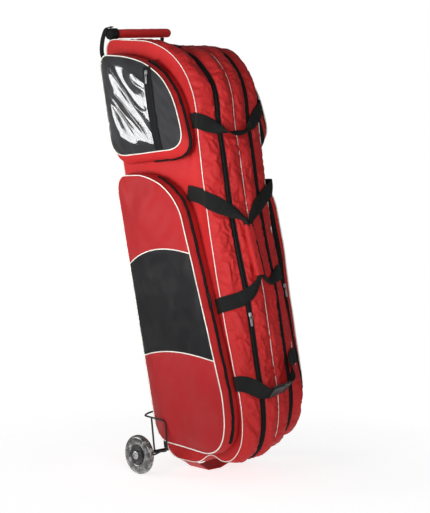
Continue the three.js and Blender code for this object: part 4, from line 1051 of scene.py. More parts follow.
def body_relief(x, y, z, ny):
    """The cloth's relief on the plain body: panels puffed between their seams, long soft folds,
    puckers beside the seams, listed creases and stuffed corners, held down under the straps."""
    half = size_mm("zip_width") / 2
    front = smooth_step(-0.1, 0.7, -ny)
    puff, seam = np.zeros(x.shape), np.full(x.shape, 99.0)
    for low, high in ((0, ZIP_X - half), (ZIP_X + half, BODY_HALF)):
        share = np.clip((np.abs(x) - low) / (high - low), 0, 1)
        puff += np.sqrt(4 * share * (1 - share)) * ((high - low) / 55)
        seam = np.minimum(seam, np.minimum(np.abs(np.abs(x) - low), np.abs(np.abs(x) - high)))
    inside = smooth_step(0, 9, seam)
    zip_band = np.abs(np.abs(x) - ZIP_X) < half
    run = z - y
    folds = noise(x / 17, run / 150, 3) + 0.7 * noise(x / 9 + run / 400, run / 85, 5)
    folds += 0.8 * noise((x + 0.45 * run) / 38, (run - 0.3 * x) / 120, 8)
    pucker = np.exp(-((seam - 5) / 6) ** 2) * noise(run / 11, x / 60, 12)
    relief = size_mm("puff") * puff * (0.35 + 0.65 * front)
    relief += inside * (size_mm("drape") * folds + front * creases(x, z)) + 0.7 * pucker * (inside > 0)
    for height, x0, across, z0, along in STUFFED:
        relief += front * height * np.exp(-(((x - x0) / across) ** 2) - ((z - z0) / along) ** 2)
    relief = np.where(zip_band, -1.4, relief) - zip_valley(x, z)
    ceiling = strap_ceiling(x, z) * front + OPEN_CEILING * (1 - front)
    return -np.logaddexp(-relief / 0.8, -ceiling / 0.8) * 0.8


def body_surface(x, s):
    """Points of the dressed body: outline plus bulge and relief along the outline's normal."""
    y, z, ny, nz = (value[:, None] + 0 * x[None] for value in BODY.at(s))
    x = x[None] + 0 * y
    out = body_out(x, z, ny) + body_relief(x, y, z, ny)
    return np.stack([x, y + out * ny, raised(x, y, z) + out * nz], axis=-1)


def panel_spine(outline, low, high, y):
    """For each point of an outline, the nearest point of an upright line inside it."""
    return np.full(outline.count, y), np.clip(outline.z, low, high)


def side_panel(side):
    """Flat side of the body: rings drawn from the outline in to an upright line in its middle."""
    spine_y, spine_z = panel_spine(BODY, 150, 1050, -205)
    ring = np.concatenate([[0, 0.02], np.linspace(0.05, 1, 26)])[None]
    y = BODY.y[:, None] * (1 - ring) + spine_y[:, None] * ring
    z = BODY.z[:, None] * (1 - ring) + spine_z[:, None] * ring
    z = raised(side * BODY_HALF, y, z)
    soft = 2.6 * noise(y / 52, z / 80, 21) + 1.4 * noise((y + 0.6 * z) / 21, (z - y) / 90, 23) - 2.4
    x = side * (BODY_HALF + np.minimum(soft, 0.2) * smooth_step(0, 0.12, ring))
    return grid(np.stack([x, y, z], axis=-1), loop=True, flip=side < 0)


def front_skin(x, z):
    """Point of the plain front at x and at a height of the outline."""
    y, ny, nz = (np.interp(z, BODY.z[FRONT], line[FRONT]) for line in (BODY.y, BODY.ny, BODY.nz))
    out = body_out(x, z, ny)
    return np.stack([x, y + out * ny, z + out * nz], axis=-1)


def lifted(p, z, lift):
    """Point over the unrolled skin: past the side edge the normal turns and the skin runs back."""
    side = np.where(p < 0, -1.0, 1.0)
    x = side * np.minimum(np.abs(p), BODY_HALF)
    low, high = np.maximum(-BODY_HALF, x - 10), np.minimum(BODY_HALF, x + 10)
    slope = (front_skin(high, z)[..., 1] - front_skin(low, z)[..., 1]) / (high - low)
    turn = np.arctan(slope)
    past = np.abs(p) - BODY_HALF
    turn += np.clip(past / CORNER_REACH, 0, 1) * (side * math.pi / 2 - turn)
    at = front_skin(x, z)
    at[..., 1] += np.maximum(0, past - CORNER_REACH)
    normal = np.stack([np.sin(turn), -np.cos(turn), 0 * turn], axis=-1)
    return at + lift[..., None] * normal


def strap_grid(rows, across=11):
    """A strap over the skin: its middle line spread to both sides, turned by its twist, with the
    webbing arched and crumpled where it is bunched narrower than it was woven."""
    p, z, lift, width, twist = strap_line(rows).T
    ahead = unit(np.stack([np.gradient(p), np.gradient(z)], axis=-1))
    spot = np.linspace(-1, 1, across)[None]
    turn = np.radians(twist)[:, None]
    flat = spot * (width[:, None] / 2) * np.cos(turn)
    bunched = np.sqrt(np.maximum(0, WOVEN_WIDTH ** 2 - width ** 2))[:, None]
    walk = steps_along(np.column_stack([p, z]))[:, None]
    arch = bunched * (0.16 * (1 - spot ** 2) + 0.06 * np.abs(noise(walk / 8, 1.7 * spot, 101)))
    return lifted(
        p[:, None] - flat * ahead[:, 1:],
        z[:, None] + flat * ahead[:, :1],
        lift[:, None] + spot * (width[:, None] / 2) * np.sin(turn) + arch,
    )


# Pockets

def slack(pocket, side, ny, z):
    """How far a pocket's face falls back at the front at each height: the right pockets hang slack."""
    return np.interp(z, *pocket["slack"][side]) * np.sqrt(np.maximum(0, -ny))


def hitched(points):
    """Points of a pocket pulled up with the bottom right of the bag."""
    x, y, z = np.moveaxis(points, -1, 0)
    return np.stack([x, y, z + np.where(x > 0, hitch(x, y, z), 0)], axis=-1)


def face_outline(pocket, outline, side):
    """The outline of a pocket's face, which lies behind the gusset's where the pocket is slack."""
    face = copy.copy(outline)
    back = slack(pocket, side, outline.ny, outline.z)
    face.y, face.z = outline.y - back * outline.ny, outline.z - back * outline.nz
    return face


def gusset(pocket, outline, side, s, share):
    """Points of a pocket's gusset: from the body out to the face, bulging by a half sine."""
    y, z, ny, nz = (value[:, None] for value in outline.at(s))
    share = np.atleast_2d(share)
    soft = 1.5 * noise(s[:, None] / 27, share * 2.6, 31) + 0.9 * noise(s[:, None] / 12, share * 3.4, 33)
    soft = soft * np.sin(math.pi * share)
    bulge = pocket["gusset_bulge"] + pocket["sag"] * np.maximum(0, -nz)
    out = bulge * np.sin(math.pi * share) + soft
    out = out - slack(pocket, side, ny, z) * smooth_step(0.2, 1, share)
    x = POCKET_RIM + share * (pocket["face"] - POCKET_RIM) + 0 * y
    return hitched(np.stack([side * x, y + out * ny, z + out * nz], axis=-1))


def face_rise(pocket, outline, y, z):
    """How far the face stands out: its dome times one minus a falling exponential of the way in."""
    away = np.hypot(y[..., None] - outline.y[::2], z[..., None] - outline.z[::2]).min(axis=-1)
    return pocket["dome"] * (1 - np.exp(-away / pocket["dome_reach"]))


def crossings(outline, values, levels):
    """Where level lines of a field cross the outline: the places where it rises and where it falls."""
    above = values[None] >= levels[:, None]
    following = np.roll(above, -1, axis=1)
    found = []
    for change in (~above & following, above & ~following):
        k = change.argmax(axis=1)
        nxt = (k + 1) % outline.count
        share = (levels - values[k]) / (values[nxt] - values[k])
        found.append([a[k] + share * (a[nxt] - a[k]) for a in (outline.y, outline.z)])
    return found


def level_rows(outline, field, levels, across, snap):
    """Rows of a face: each on a level line of the field, from edge to edge of the outline."""
    rise, fall = crossings(outline, field(outline.y, outline.z), levels)
    share = np.linspace(0, 1, across)[None]
    y = rise[0][:, None] + share * (fall[0] - rise[0])[:, None]
    z = rise[1][:, None] + share * (fall[1] - rise[1])[:, None]
    return snap(y, z, levels[:, None])


def arch(shape, y):
    """Height of an arched seam: a parabola that drops on both sides of its crown."""
    return shape["crown"][1] - shape["drop"] * ((y - shape["crown"][0]) / shape["reach"]) ** 2


def over_top(y, z):
    """Height over the panel's top seam."""
    return z - arch(PANEL_TOP, y)


def over_bottom(y, z):
    """Height over the panel's bottom seam."""
    return z - arch(PANEL_BOTTOM, y)


def panel_share(y, z):
    """Share of the way from the panel's bottom seam to its top seam."""
    return over_bottom(y, z) / (arch(PANEL_TOP, y) - arch(PANEL_BOTTOM, y))


def face_points(pocket, outline, side, y, z, extra):
    """Points of a pocket's face: its distance from the middle plus the dome and an extra height."""
    x = pocket["face"] + face_rise(pocket, outline, y, z) + extra
    return hitched(np.stack([side * x, y, z], axis=-1))


def lower_face(side, part):
    """One of the three cloths of the lower pocket's face, between its seams."""
    edge = 1e-3
    outline = face_outline(LOWER_POCKET, LOWER, side)
    if part == "top":
        high = over_top(outline.y, outline.z).max()
        levels = high * np.linspace(0, 1 - edge, 60)
        y, z = level_rows(
            outline, over_top, levels, 64, lambda y, z, level: (y, arch(PANEL_TOP, y) + level))
        seam = over_top(y, z)
    elif part == "bottom":
        low = over_bottom(outline.y, outline.z).min()
        levels = low * np.linspace(1 - edge, 0, 70)
        y, z = level_rows(
            outline, over_bottom, levels, 64, lambda y, z, level: (y, arch(PANEL_BOTTOM, y) + level))
        seam = -over_bottom(y, z)
    else:
        def between(y, z, level):
            """The point of a level between the two seams."""
            return y, arch(PANEL_BOTTOM, y) + level * (arch(PANEL_TOP, y) - arch(PANEL_BOTTOM, y))
        y, z = level_rows(outline, panel_share, np.linspace(0, 1, 74), 64, between)
        seam = np.minimum(over_bottom(y, z), -over_top(y, z))
    soft = 4.2 * noise(y / 74 + z / 400, z / 140, 41) + 1.3 * noise((y + z) / 45, (z - y) / 160, 43)
    extra = (1.6 + soft) * (1 - np.exp(-np.maximum(seam, 0) / 9)) - 0.6
    rise = face_rise(LOWER_POCKET, outline, y, z) / LOWER_POCKET["dome"]
    return face_points(LOWER_POCKET, outline, side, y, z, rise * extra)


def upper_face(low, high, rows, across=72):
    """Places on the upper pocket's face between two upright lines."""
    levels = np.linspace(low, high, rows)
    return level_rows(UPPER, lambda y, z: y, levels, across, lambda y, z, level: (level + 0 * y, z))


def film_relief(y, z):
    """Crinkles of the film: sharp-sided slanting folds over soft waves."""
    slant, cross = (y * 0.6 + z * 0.8), (y * 0.8 - z * 0.6)
    bend = cross + 9 * noise(slant / 70, cross / 70, 57)
    waves = 4.2 * noise(bend / 44, slant / 150, 51) + 0.9 * noise(bend / 19, slant / 95, 53)
    folds = 1 - np.abs(noise(bend / 38, slant / 150, 55))
    return waves + 2.6 * folds ** 3


def corner_cord(outline, x, side):
    """Piping on an edge: its middle line stands off the corner along the bisector."""
    reach = size_mm("piping_radius") / math.sqrt(2)
    wander = 0.5 * noise(outline.s / 40, 0 * outline.s, 61)
    off = reach + wander
    y, z = outline.y + off * outline.ny, outline.z + off * outline.nz
    points = np.stack([np.full(outline.count, side * (x + reach)), y, z], axis=-1)
    if x > BODY_HALF:
        return hitched(points)
    points[:, 2] = raised(side * x, y, z)
    return points


def arch_cord(side, shape):
    """Piping on an arched seam, lying on the face and run into the piping on the edge."""
    outline = face_outline(LOWER_POCKET, LOWER, side)
    rows = level_rows(
        outline, lambda y, z: z - arch(shape, y), np.array([0.0]), 160,
        lambda y, z, level: (y, arch(shape, y) + level),
    )
    lift = size_mm("piping_radius") * 0.7
    return face_points(LOWER_POCKET, outline, side, *rows, lift)[0]


# Zips

def zip_offsets():
    """Places across a zip: its tape's edges, and finer steps over the coil in the middle."""
    half, coil = size_mm("zip_width") / 2, size_mm("coil_radius")
    fine = np.linspace(-1.3 * coil, 1.3 * coil, 9)
    return np.concatenate([[-half, -0.72 * half, -0.5 * half], fine, [0.5 * half, 0.72 * half, half]])


def zip_parts(points, s, flip):
    """A closed zip on a strip of surface: tape with a ribbed half-round coil along its middle."""
    coil = size_mm("coil_radius")
    across = zip_offsets()[None]
    ribs = 1 - COIL_RIB + COIL_RIB * np.cos(2 * math.pi * s / COIL_PITCH)[:, None]
    hump = coil * ribs * np.sqrt(np.maximum(0, 1 - (across / (1.15 * coil)) ** 2))
    seam = STITCH["at"] * size_mm("zip_width") / 2
    stitch = STITCH["height"] * np.exp(-((np.abs(across) - seam) / STITCH["reach"]) ** 2)
    normal = normals_of(points) * (-1 if flip else 1)
    return walled(points + (TAPE_LIFT + hump + stitch)[..., None] * normal, TAPE_WALL)


def puller_parts(at, along, out):
    """A zip's puller: a rounded slider, a bridge over it and a flat drop-shaped tab with a hole."""
    along = unit(np.asarray(along, float))
    out = unit(out - np.dot(out, along) * along)
    across = np.cross(out, along)
    slider = soft_box((6.5, 4.8, 2.4), 0.45, 14) + (0, 0, 2.6)
    angle = np.linspace(0, math.pi, 16)
    bridge = np.column_stack([5 * np.cos(angle), 0 * angle, 4.6 + 2.6 * np.sin(angle)])
    ring = np.linspace(0, 2 * math.pi, 28, endpoint=False)
    hoop = np.column_stack([9 + 5 * np.cos(ring), 3.4 * np.sin(ring), 5.6 + 0 * ring])
    tab = soft_box((11, 3.4, 0.9), 0.4, 16) + (24, 0, 4.4)
    parts = [grid(slider, loop=True), swept(bridge, 0.9, 8, (0, 1, 0)),
             swept(hoop, 0.85, 8, (0, 0, 1), loop=True), grid(tab, loop=True)]
    for part in parts:
        part["points"] = put(part["points"], at, along, across, out)
    return parts


def pull_place(points, row, column, flip):
    """Place and directions of a puller on a zip's strip of points."""
    normal = normals_of(points)[row, column] * (-1 if flip else 1)
    return points[row, column] + 2.2 * normal, points[row + 2, column] - points[row, column], normal


# Operators

class FENCINGBAG_OT_body(bpy.types.Operator):
    """Body cloth: the gusset over front, top, back and bottom, closed by the two side panels"""

    bl_idname = "fencing_bag.body"
    bl_label = "Body cloth"

    COLUMNS = (17, 7, 19)
    LOOSE = ((2, 0.3), (5, 0.9))

    def execute(self, context):
        half = size_mm("zip_width") / 2
        lines = (0, ZIP_X - half, ZIP_X + half, BODY_HALF)
        right = [np.linspace(a, b, n, endpoint=False) for a, b, n in zip(lines, lines[1:], self.COLUMNS)]
        right = np.concatenate([*right, [BODY_HALF]])
        x = np.concatenate([-right[:0:-1], right])
        points = body_surface(x, BODY.s)
        rows = slice(*(int(BODY.place(*end) / BODY.length * BODY.count) for end in self.LOOSE))
        points[rows] = self.loosened(points[rows], x)
        parts = [grid(points, loop=True), *(side_panel(side) for _, side in SIDES)]
        piece("body_cloth", parts, finish("red_cloth"), ["body_shell"])
        return {"FINISHED"}

    def loosened(self, points, x):
        """The front's cloth buckled between the zips, the seams and the straps that hold it."""
        half = size_mm("zip_width") / 2
        z = points[..., 2]
        across = np.abs(x[None] + 0 * z)
        ceiling = strap_ceiling(x[None] + 0 * z, z)
        held = (np.abs(across - ZIP_X) < half + 0.1) | (ceiling < CLOTH["held_under"])
        held |= (across < 1) | (across > BODY_HALF - 1)
        held[:3] = held[-3:] = True
        return settled(points, held, np.minimum(CLOTH["reach"], np.maximum(ceiling, 1)))


class FENCINGBAG_OT_lower_pockets(bpy.types.Operator):
    """Lower pockets: a gusset, a smooth red face at top and bottom and a black panel between"""

    bl_idname = "fencing_bag.lower_pockets"
    bl_label = "Lower pockets"

    def execute(self, context):
        for name, side in SIDES:
            wall = gusset(LOWER_POCKET, LOWER, side, LOWER.s, np.linspace(0, 1, 25))
            piece(
                f"lower_pocket_gusset_{name}", [grid(wall, loop=True, flip=side < 0)],
                finish("red_cloth"),
            )
            faces = [part for key in ("top", "bottom") for part in walled(lower_face(side, key), FACE_WALL)]
            piece(
                f"lower_pocket_red_{name}", faces, finish("coated_red"),
                [f"lower_pocket_{name}"],
            )
            piece(
                f"lower_pocket_black_{name}", walled(lower_face(side, "panel"), FACE_WALL),
                finish("black_cloth"), [f"lower_pocket_panel_{name}"],
            )
        return {"FINISHED"}


class FENCINGBAG_OT_upper_pockets(bpy.types.Operator):
    """Upper pockets: a red gusset, a black face and a clear film window over it"""

    bl_idname = "fencing_bag.upper_pockets"
    bl_label = "Upper pockets"

    def execute(self, context):
        half = size_mm("zip_width") / 2
        low, high = UPPER.y.min() + 0.2, UPPER.y.max() - 0.2
        for name, side in SIDES:
            wall = gusset(UPPER_POCKET, UPPER, side, UPPER.s, np.linspace(0, 1, 25))
            piece(
                f"upper_pocket_gusset_{name}", [grid(wall, loop=True, flip=side < 0)],
                finish("red_cloth"), [f"upper_pocket_{name}"],
            )
            y, z = upper_face(low, high, 90)
            soft = 1.1 * noise(y / 55, z / 85, 45) + 1.7 * noise((y - 0.8 * z) / 19, (y + z) / 140, 47)
            sunk = -FILM_LIFT * smooth_step(WINDOW_ZIP_Y, WINDOW_ZIP_Y + 2 * half, y)
            cloth = face_points(UPPER_POCKET, UPPER, side, y, z, soft + sunk - 0.6)
            # The face takes the paler black cloth: painted light for the extra light on the upper faces.
            piece(
                f"upper_pocket_black_{name}", walled(cloth, FACE_WALL),
                finish("faded_black"), [f"upper_pocket_face_{name}"],
            )
            y, z = upper_face(WINDOW_ZIP_Y + half - 1, high, 100, 116)
            rise = face_rise(UPPER_POCKET, UPPER, y, z) / UPPER_POCKET["dome"]
            film = face_points(UPPER_POCKET, UPPER, side, y, z, rise * film_relief(y, z))
            piece(
                f"window_film_{name}", walled(film, FILM_WALL),
                finish("clear_film"), [f"window_{name}"],
            )
        return {"FINISHED"}


class FENCINGBAG_OT_zips(bpy.types.Operator):
    """Zips: taped strips with ribbed coils, and the pullers on them"""

    bl_idname = "fencing_bag.zips"
    bl_label = "Zips and pullers"

    def strip(self, name, points, s, flip, pull_at, node, extra=()):
        """A zip's tape on a strip of points, and its puller at a walked distance."""
        tape = [*zip_parts(points, s, flip), *extra]
        piece(f"{name}_tape", tape, finish("zip_tape"), [node])
        row = int(np.clip(np.searchsorted(s, pull_at), 1, len(s) - 4))
        place = pull_place(points, row, points.shape[1] // 2, flip)
        side = name.rsplit("_", 1)[1]
        puller = node.replace(f"_{side}", f"_puller_{side}").replace("pocket_zip", "pocket")
        metal = "black_metal" if name in DARK_PULLERS else "bright_metal"
        piece(f"{name}_slider", puller_parts(*place), finish(metal), [puller])

    def execute(self, context):
        offsets = zip_offsets()
        for name, side in SIDES:
            start, end = BODY.place(*FRONT_ZIP_START[name]), BODY.place(*FRONT_ZIP_END)
            s = np.arange(start, end, ZIP_STEP)
            points = body_surface(side * ZIP_X + offsets, s)
            tab = self.shoulder_tab(start) if side < 0 else ()
            pull_at = BODY.place(*FRONT_PULLER[name])
            self.strip(f"front_{name}", points, s, False, pull_at, f"front_zip_{name}", tab)
            for key, pocket, outline in (("lower", LOWER_POCKET, LOWER), ("upper", UPPER_POCKET, UPPER)):
                start, end = (outline.place(*spot) for spot in pocket["zip"])
                s = np.arange(start, end, ZIP_STEP)
                spread = POCKET_ZIP_SHOWN[name] * offsets / (pocket["face"] - POCKET_RIM)
                height = outline.at(s)[1][:, None]
                share = np.interp(height, *pocket["zip_across"][side]) + spread
                points = gusset(pocket, outline, side, s, share)
                pull_at = outline.place(*pocket["puller"])
                node = f"{key}_pocket_zip_{name}"
                self.strip(f"{key}_pocket_{name}", points, s, side < 0, pull_at, node)
            self.window_zip(name, side, offsets)
        return {"FINISHED"}

    def shoulder_tab(self, start):
        """The black end of the left front zip: a patch of the body's skin, lifted along its normals."""
        across = np.linspace(-SHOULDER_TAB["half"], SHOULDER_TAB["half"], 15)
        skin = body_surface(across - ZIP_X, start + np.linspace(*SHOULDER_TAB["along"], 9))
        return walled(skin + SHOULDER_TAB["lift"] * normals_of(skin), SHOULDER_TAB["wall"])

    def window_zip(self, name, side, offsets):
        """The upright zip between the black face and the window, with a fold of film beside it."""
        (_, low), (_, high) = crossings(UPPER, UPPER.y, np.array([float(WINDOW_ZIP_Y)]))
        gap = WINDOW_ZIP["end_gap"]
        top, bottom = max(low[0], high[0]) - gap, min(low[0], high[0]) + gap
        s = np.arange(0, top - bottom, ZIP_STEP)
        z = (top - s)[:, None] + 0 * offsets[None]
        y = WINDOW_ZIP_Y + WINDOW_ZIP["stretch"] * offsets[None] + 0 * z
        away = (y - WINDOW_ZIP_Y - WINDOW_ZIP["fold_at"]) / WINDOW_ZIP["fold_reach"]
        lift = WINDOW_ZIP["lift"] + WINDOW_ZIP["fold"] * np.exp(-(away ** 2))
        points = face_points(UPPER_POCKET, UPPER, side, y, z, lift)
        pull_at = top - WINDOW_PULLER_Z
        self.strip(f"window_{name}", points, s, side < 0, pull_at, f"window_zip_{name}")


class FENCINGBAG_OT_piping(bpy.types.Operator):
    """Piping: white cords round the side panels and pockets, on the arched seams and down the front"""

    bl_idname = "fencing_bag.piping"
    bl_label = "Piping"

    def execute(self, context):
        radius = size_mm("piping_radius")
        cord = finish("piping_cord")
        for name, side in SIDES:
            edge = swept(corner_cord(BODY, BODY_HALF, side), SIDE_CORD * radius, 10, loop=True)
            piece(f"side_cord_{name}", [edge], cord, [f"side_piping_{name}"])
            outline = face_outline(LOWER_POCKET, LOWER, side)
            lower = [swept(corner_cord(outline, LOWER_POCKET["face"], side), radius, 10, loop=True)]
            lower += [swept(arch_cord(side, shape), radius, 10) for shape in (PANEL_TOP, PANEL_BOTTOM)]
            piece(f"lower_pocket_cord_{name}", lower, cord, [f"lower_pocket_piping_{name}"])
            upper = [swept(corner_cord(UPPER, UPPER_POCKET["face"], side), radius, 10, loop=True)]
            piece(f"upper_pocket_cord_{name}", upper, cord, [f"upper_pocket_piping_{name}"])
        start, end = BODY.place(*FRONT_ZIP_START["right"]), BODY.place(*FRONT_ZIP_END)
        s = np.arange(start, end, 4.0)
        points = body_surface(np.array([-1.0, 0.0, 1.0]), s)
        line = points[:, 1] + 0.55 * radius * normals_of(points)[:, 1]
        front = swept(line, FRONT_CORD * radius, 10)
        piece("front_cord", [front], cord, ["front_piping"])
        return {"FINISHED"}


class FENCINGBAG_OT_straps(bpy.types.Operator):
    """Straps: ribbed webbing laid over the front and sewn down on the side panels"""

    bl_idname = "fencing_bag.straps"
    bl_label = "Straps"

    def execute(self, context):
        thick = size_mm("webbing_thickness")
        for name, rows in STRAPS.items():
            points = strap_grid(rows)
            piece(f"{name}_web", walled(points, thick, edge=0.7), finish("webbing"), [name])
        return {"FINISHED"}


class FENCINGBAG_OT_handle_wrap(bpy.types.Operator):
    """Handle wrap: a padded red sleeve round both handle loops, open along a slit"""

    bl_idname = "fencing_bag.handle_wrap"
    bl_label = "Handle wrap"

    def execute(self, context):
        share = np.linspace(0, 1, 60)[:, None]
        around = np.linspace(0, 1, 90)[None]
        z = WRAP["top"] + share * (WRAP["bottom"] - WRAP["top"])
        slit = np.radians(WRAP["slit_top"] + share * (WRAP["slit_bottom"] - WRAP["slit_top"]))
        angle = math.radians(WRAP["slit_at"]) + slit + around * (2 * math.pi - 2 * slit)
        puff = 0.9 * noise(share * 5, around * 7, 71) - 1.2 * np.exp(-((share - 0.5) ** 2) / 0.3)
        ends = 1.4 * (np.exp(-share / 0.03) + np.exp(-(1 - share) / 0.03))

        def soft(value):
            """A cosine or sine made squarer, with its sign kept."""
            return np.sign(value) * np.abs(value) ** (2 / 3)

        middle = WRAP["wall"] / 2
        x = (WRAP["half_width"] - middle + puff - ends) * soft(np.cos(angle))
        front = (WRAP["half_thick"] - middle + 0.4 * puff - 0.6 * ends) * soft(np.sin(angle))
        y = front_skin(0 * z, z)[..., 1] - WRAP["lift"] - front
        x = x + WRAP["sway_top"] + share * (WRAP["sway_bottom"] - WRAP["sway_top"])
        points = np.stack([x, y, z + 0 * x], axis=-1)
        made = piece("handle_wrap_pad", walled(points, WRAP["wall"]), finish("red_cloth"),
                     ["handle_wrap"])
        return {"FINISHED"}


class FENCINGBAG_OT_buckle(bpy.types.Operator):
    """Buckle: the two halves of a closed side-release buckle between the bottom straps"""

    bl_idname = "fencing_bag.buckle"
    bl_label = "Buckle"

    def execute(self, context):
        p, z = np.array(float(BUCKLE["p"])), np.array(float(BUCKLE["z"]))
        at = lifted(p, z, np.array(float(BUCKLE["lift"])))
        normal = unit(lifted(p, z, np.array(1.0)) - lifted(p, z, np.array(0.0)))
        heading, twist = math.radians(BUCKLE["heading"]), math.radians(BUCKLE["twist"])
        along = np.array([math.cos(heading), 0, math.sin(heading)])
        along = unit(along - np.dot(along, normal) * normal)
        up = np.cross(normal, along)
        wide = up * math.cos(twist) + normal * math.sin(twist)
        out = normal * math.cos(twist) - up * math.sin(twist)
        for node, shape in (("buckle_socket", BUCKLE_SOCKET), ("buckle_plug", BUCKLE_PLUG)):
            parts = [grid(plate(shape["outline"], shape["thick"], BUCKLE["bevel"]), loop=True)]
            for place in shape["ribs"]:
                rib = soft_box(BUCKLE_RIB, 0.5, 12) + (place, 0, shape["thick"] / 2)
                parts.append(grid(rib, loop=True))
            for part in parts:
                part["points"] = put(part["points"], at, along, wide, out)
            piece(f"{node}_half", parts, finish("black_plastic"), [node])
        return {"FINISHED"}


class FENCINGBAG_OT_grip(bpy.types.Operator):
    """Grip: a padded cloth sleeve across the top of the trolley, and the strap tied round it"""

    bl_idname = "fencing_bag.grip"
    bl_label = "Grip and its strap"

    def execute(self, context):
        half = GRIP["length"] / 2
        along = np.concatenate([[-half], np.linspace(-half + 0.5, half - 0.5, 150), [half]])
        angle = np.linspace(0, 2 * math.pi, 56, endpoint=False)[:, None]
        end = 1 - np.exp(-(half - np.abs(along) + 0.3) / GRIP["end_round"])
        radius = (GRIP["radius"] - 1.2) * end[None]
        wave = np.cos(angle - 0.6)
        soft = 0.5 * noise(along[None] / 16, wave * 1.6, 81) + 0.4 * noise(along[None] / 40, wave, 83)
        seam = -GRIP["seam_depth"] * np.exp(-((angle - GRIP["seam_at"]) / GRIP["seam_reach"]) ** 2)
        radius = radius + (soft + seam) * end[None]
        radius = np.concatenate([0 * radius[:, :1], radius, 0 * radius[:, :1]], axis=1)
        along = np.concatenate([along[:1], along, along[-1:]])
        points = np.stack([
            GRIP["middle"] + along[None] + 0 * radius,
            GRIP["y"] + radius * np.cos(angle),
            GRIP["z"] + radius * np.sin(angle),
        ], axis=-1)
        pad = piece("grip_pad", [grid(points, loop=True)], finish("grip_cloth"), ["grip"])
        piece("grip_strap", self.tie(), finish("webbing"), ["grip_tie"])
        return {"FINISHED"}

    def tie(self):
        """A ring of strap round the grip, drawn in over its end as a black cap that is partly the strap and
        partly painted shade on the end, and a tail that turns flat to the back.
        """
        radius = GRIP["radius"] + 1.4
        angle = np.linspace(0, 2 * math.pi, 49)[:, None]
        wide = np.linspace(-TIE_HALF, TIE_HALF, 5)[None]
        reach, share = np.array(TIE_CAP_AND_SHADE).T[:, None]
        ring = np.stack([
            TIE_RING_X + reach + 0 * angle,
            GRIP["y"] + radius * share * np.cos(angle),
            GRIP["z"] + radius * share * np.sin(angle),
        ], axis=-1)
        tail = np.array(TIE_TAIL)
        rows = spline(tail[:, :3], 97)
        last = len(tail) - 1
        turn = np.radians(np.interp(np.linspace(0, last, 97), np.arange(last + 1), tail[:, 3]))
        ahead = unit(np.gradient(rows, axis=0))
        back = unit(np.array([0, 1, 0]) - ahead[:, 1:2] * ahead)
        side = np.cross(ahead, back)
        flat = back * np.cos(turn)[:, None] + side * np.sin(turn)[:, None]
        return walled(ring, 2.0) + walled(rows[:, None] + wide[..., None] * flat[:, None], 2.2)


class FENCINGBAG_OT_trolley(bpy.types.Operator):
    """Trolley: bent uprights, wire guards and the axle in black painted steel"""

    bl_idname = "fencing_bag.trolley"
    bl_label = "Trolley"

    AXLE_ROD = ((0, -225), (4.2, -225), (5, -224), (5, 224), (4.2, 225), (0, 225))
    WIRE_HINT = (0.31, 0.87, 0.38)

    def execute(self, context):
        black = finish("black_metal")
        for name, side in SIDES:
            leg = bent([(side * UPRIGHT_X, y, z) for y, z in UPRIGHT], 24)
            tube = swept(leg, UPRIGHT_RADIUS, 20)
            piece(f"upright_tube_{name}", [tube], black, [f"upright_{name}"])
            mirror = np.array([side, 1, 1])
            lines = [bent(np.array(line) * mirror, 14) for line in (GUARD_LOOP, GUARD_STAY)]
            wires = [swept(line, GUARD_RADIUS, 12, self.WIRE_HINT) for line in lines]
            piece(f"guard_wire_{name}", wires, black, [f"guard_{name}"])
        piece("axle_rod", [turned(self.AXLE_ROD, 24)], black, ["axle"])
        return {"FINISHED"}


class FENCINGBAG_OT_wheels(bpy.types.Operator):
    """Wheels: smoky tyres on black hubs, each held by a bright nut"""

    bl_idname = "fencing_bag.wheels"
    bl_label = "Wheels"

    TYRE = ((31, -9), (33, -10.2), (40, -10.8), (48, -11), (53, -10.4), (57, -8.4), (59.3, -5), (60, 0),
            (59.3, 5), (57, 8.4), (53, 10.4), (48, 11), (40, 10.8), (33, 10.2), (31, 9), (31, -9))
    HUB = ((5.3, 12), (11, 12), (13, 11.2), (15, 7.4), (18, 6.6), (24, 6.8), (27, 8), (28.4, 9),
           (30.6, 9.4))
    NOTCHES = {"count": 12, "depth": 0.09, "between": (24, 30)}
    NUT = ((0, 12.6), (12.2, 12.6), (12.5, 13), (12.5, 16), (11.8, 16.6), (8, 17), (7.6, 17.4), (7, 21.4),
           (6.4, 22), (4.2, 22), (3.8, 19), (0, 19))

    def execute(self, context):
        for name, side in SIDES:
            centre = np.mean([list(corner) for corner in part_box(f"wheel_tyre_{name}")], axis=0) / MM
            body = f"wheel_{name}"
            tyre = turned(self.TYRE, 96, centre)
            piece(f"tyre_{name}", [tyre], finish("smoky_tyre"), [f"wheel_tyre_{name}"],
                  body=body, in_frame=True)
            profile = [(r, -out) for r, out in self.HUB] + [(r, out) for r, out in self.HUB[::-1]]
            profile.append(profile[0])
            hub = turned(profile, 96)
            angle = np.linspace(0, 2 * math.pi, 96, endpoint=False)[:, None]
            reach = np.hypot(hub["points"][..., 1], hub["points"][..., 2])
            wave = 0.5 + 0.5 * np.cos(self.NOTCHES["count"] * angle)
            notch = 1 - self.NOTCHES["depth"] * smooth_step(*self.NOTCHES["between"], reach) * wave
            hub["points"] = hub["points"] * np.stack([0 * notch + 1, notch, notch], axis=-1) + centre
            piece(f"hub_{name}", [hub], finish("black_plastic"), [f"wheel_hub_{name}"],
                  body=body, in_frame=True)
            nut = turned([(r, side * out) for r, out in self.NUT], 48, centre)
            nut["flip"] = side < 0
            piece(f"nut_{name}", [nut], finish("bright_metal"), [f"axle_cap_{name}"],
                  in_frame=True)
        return {"FINISHED"}


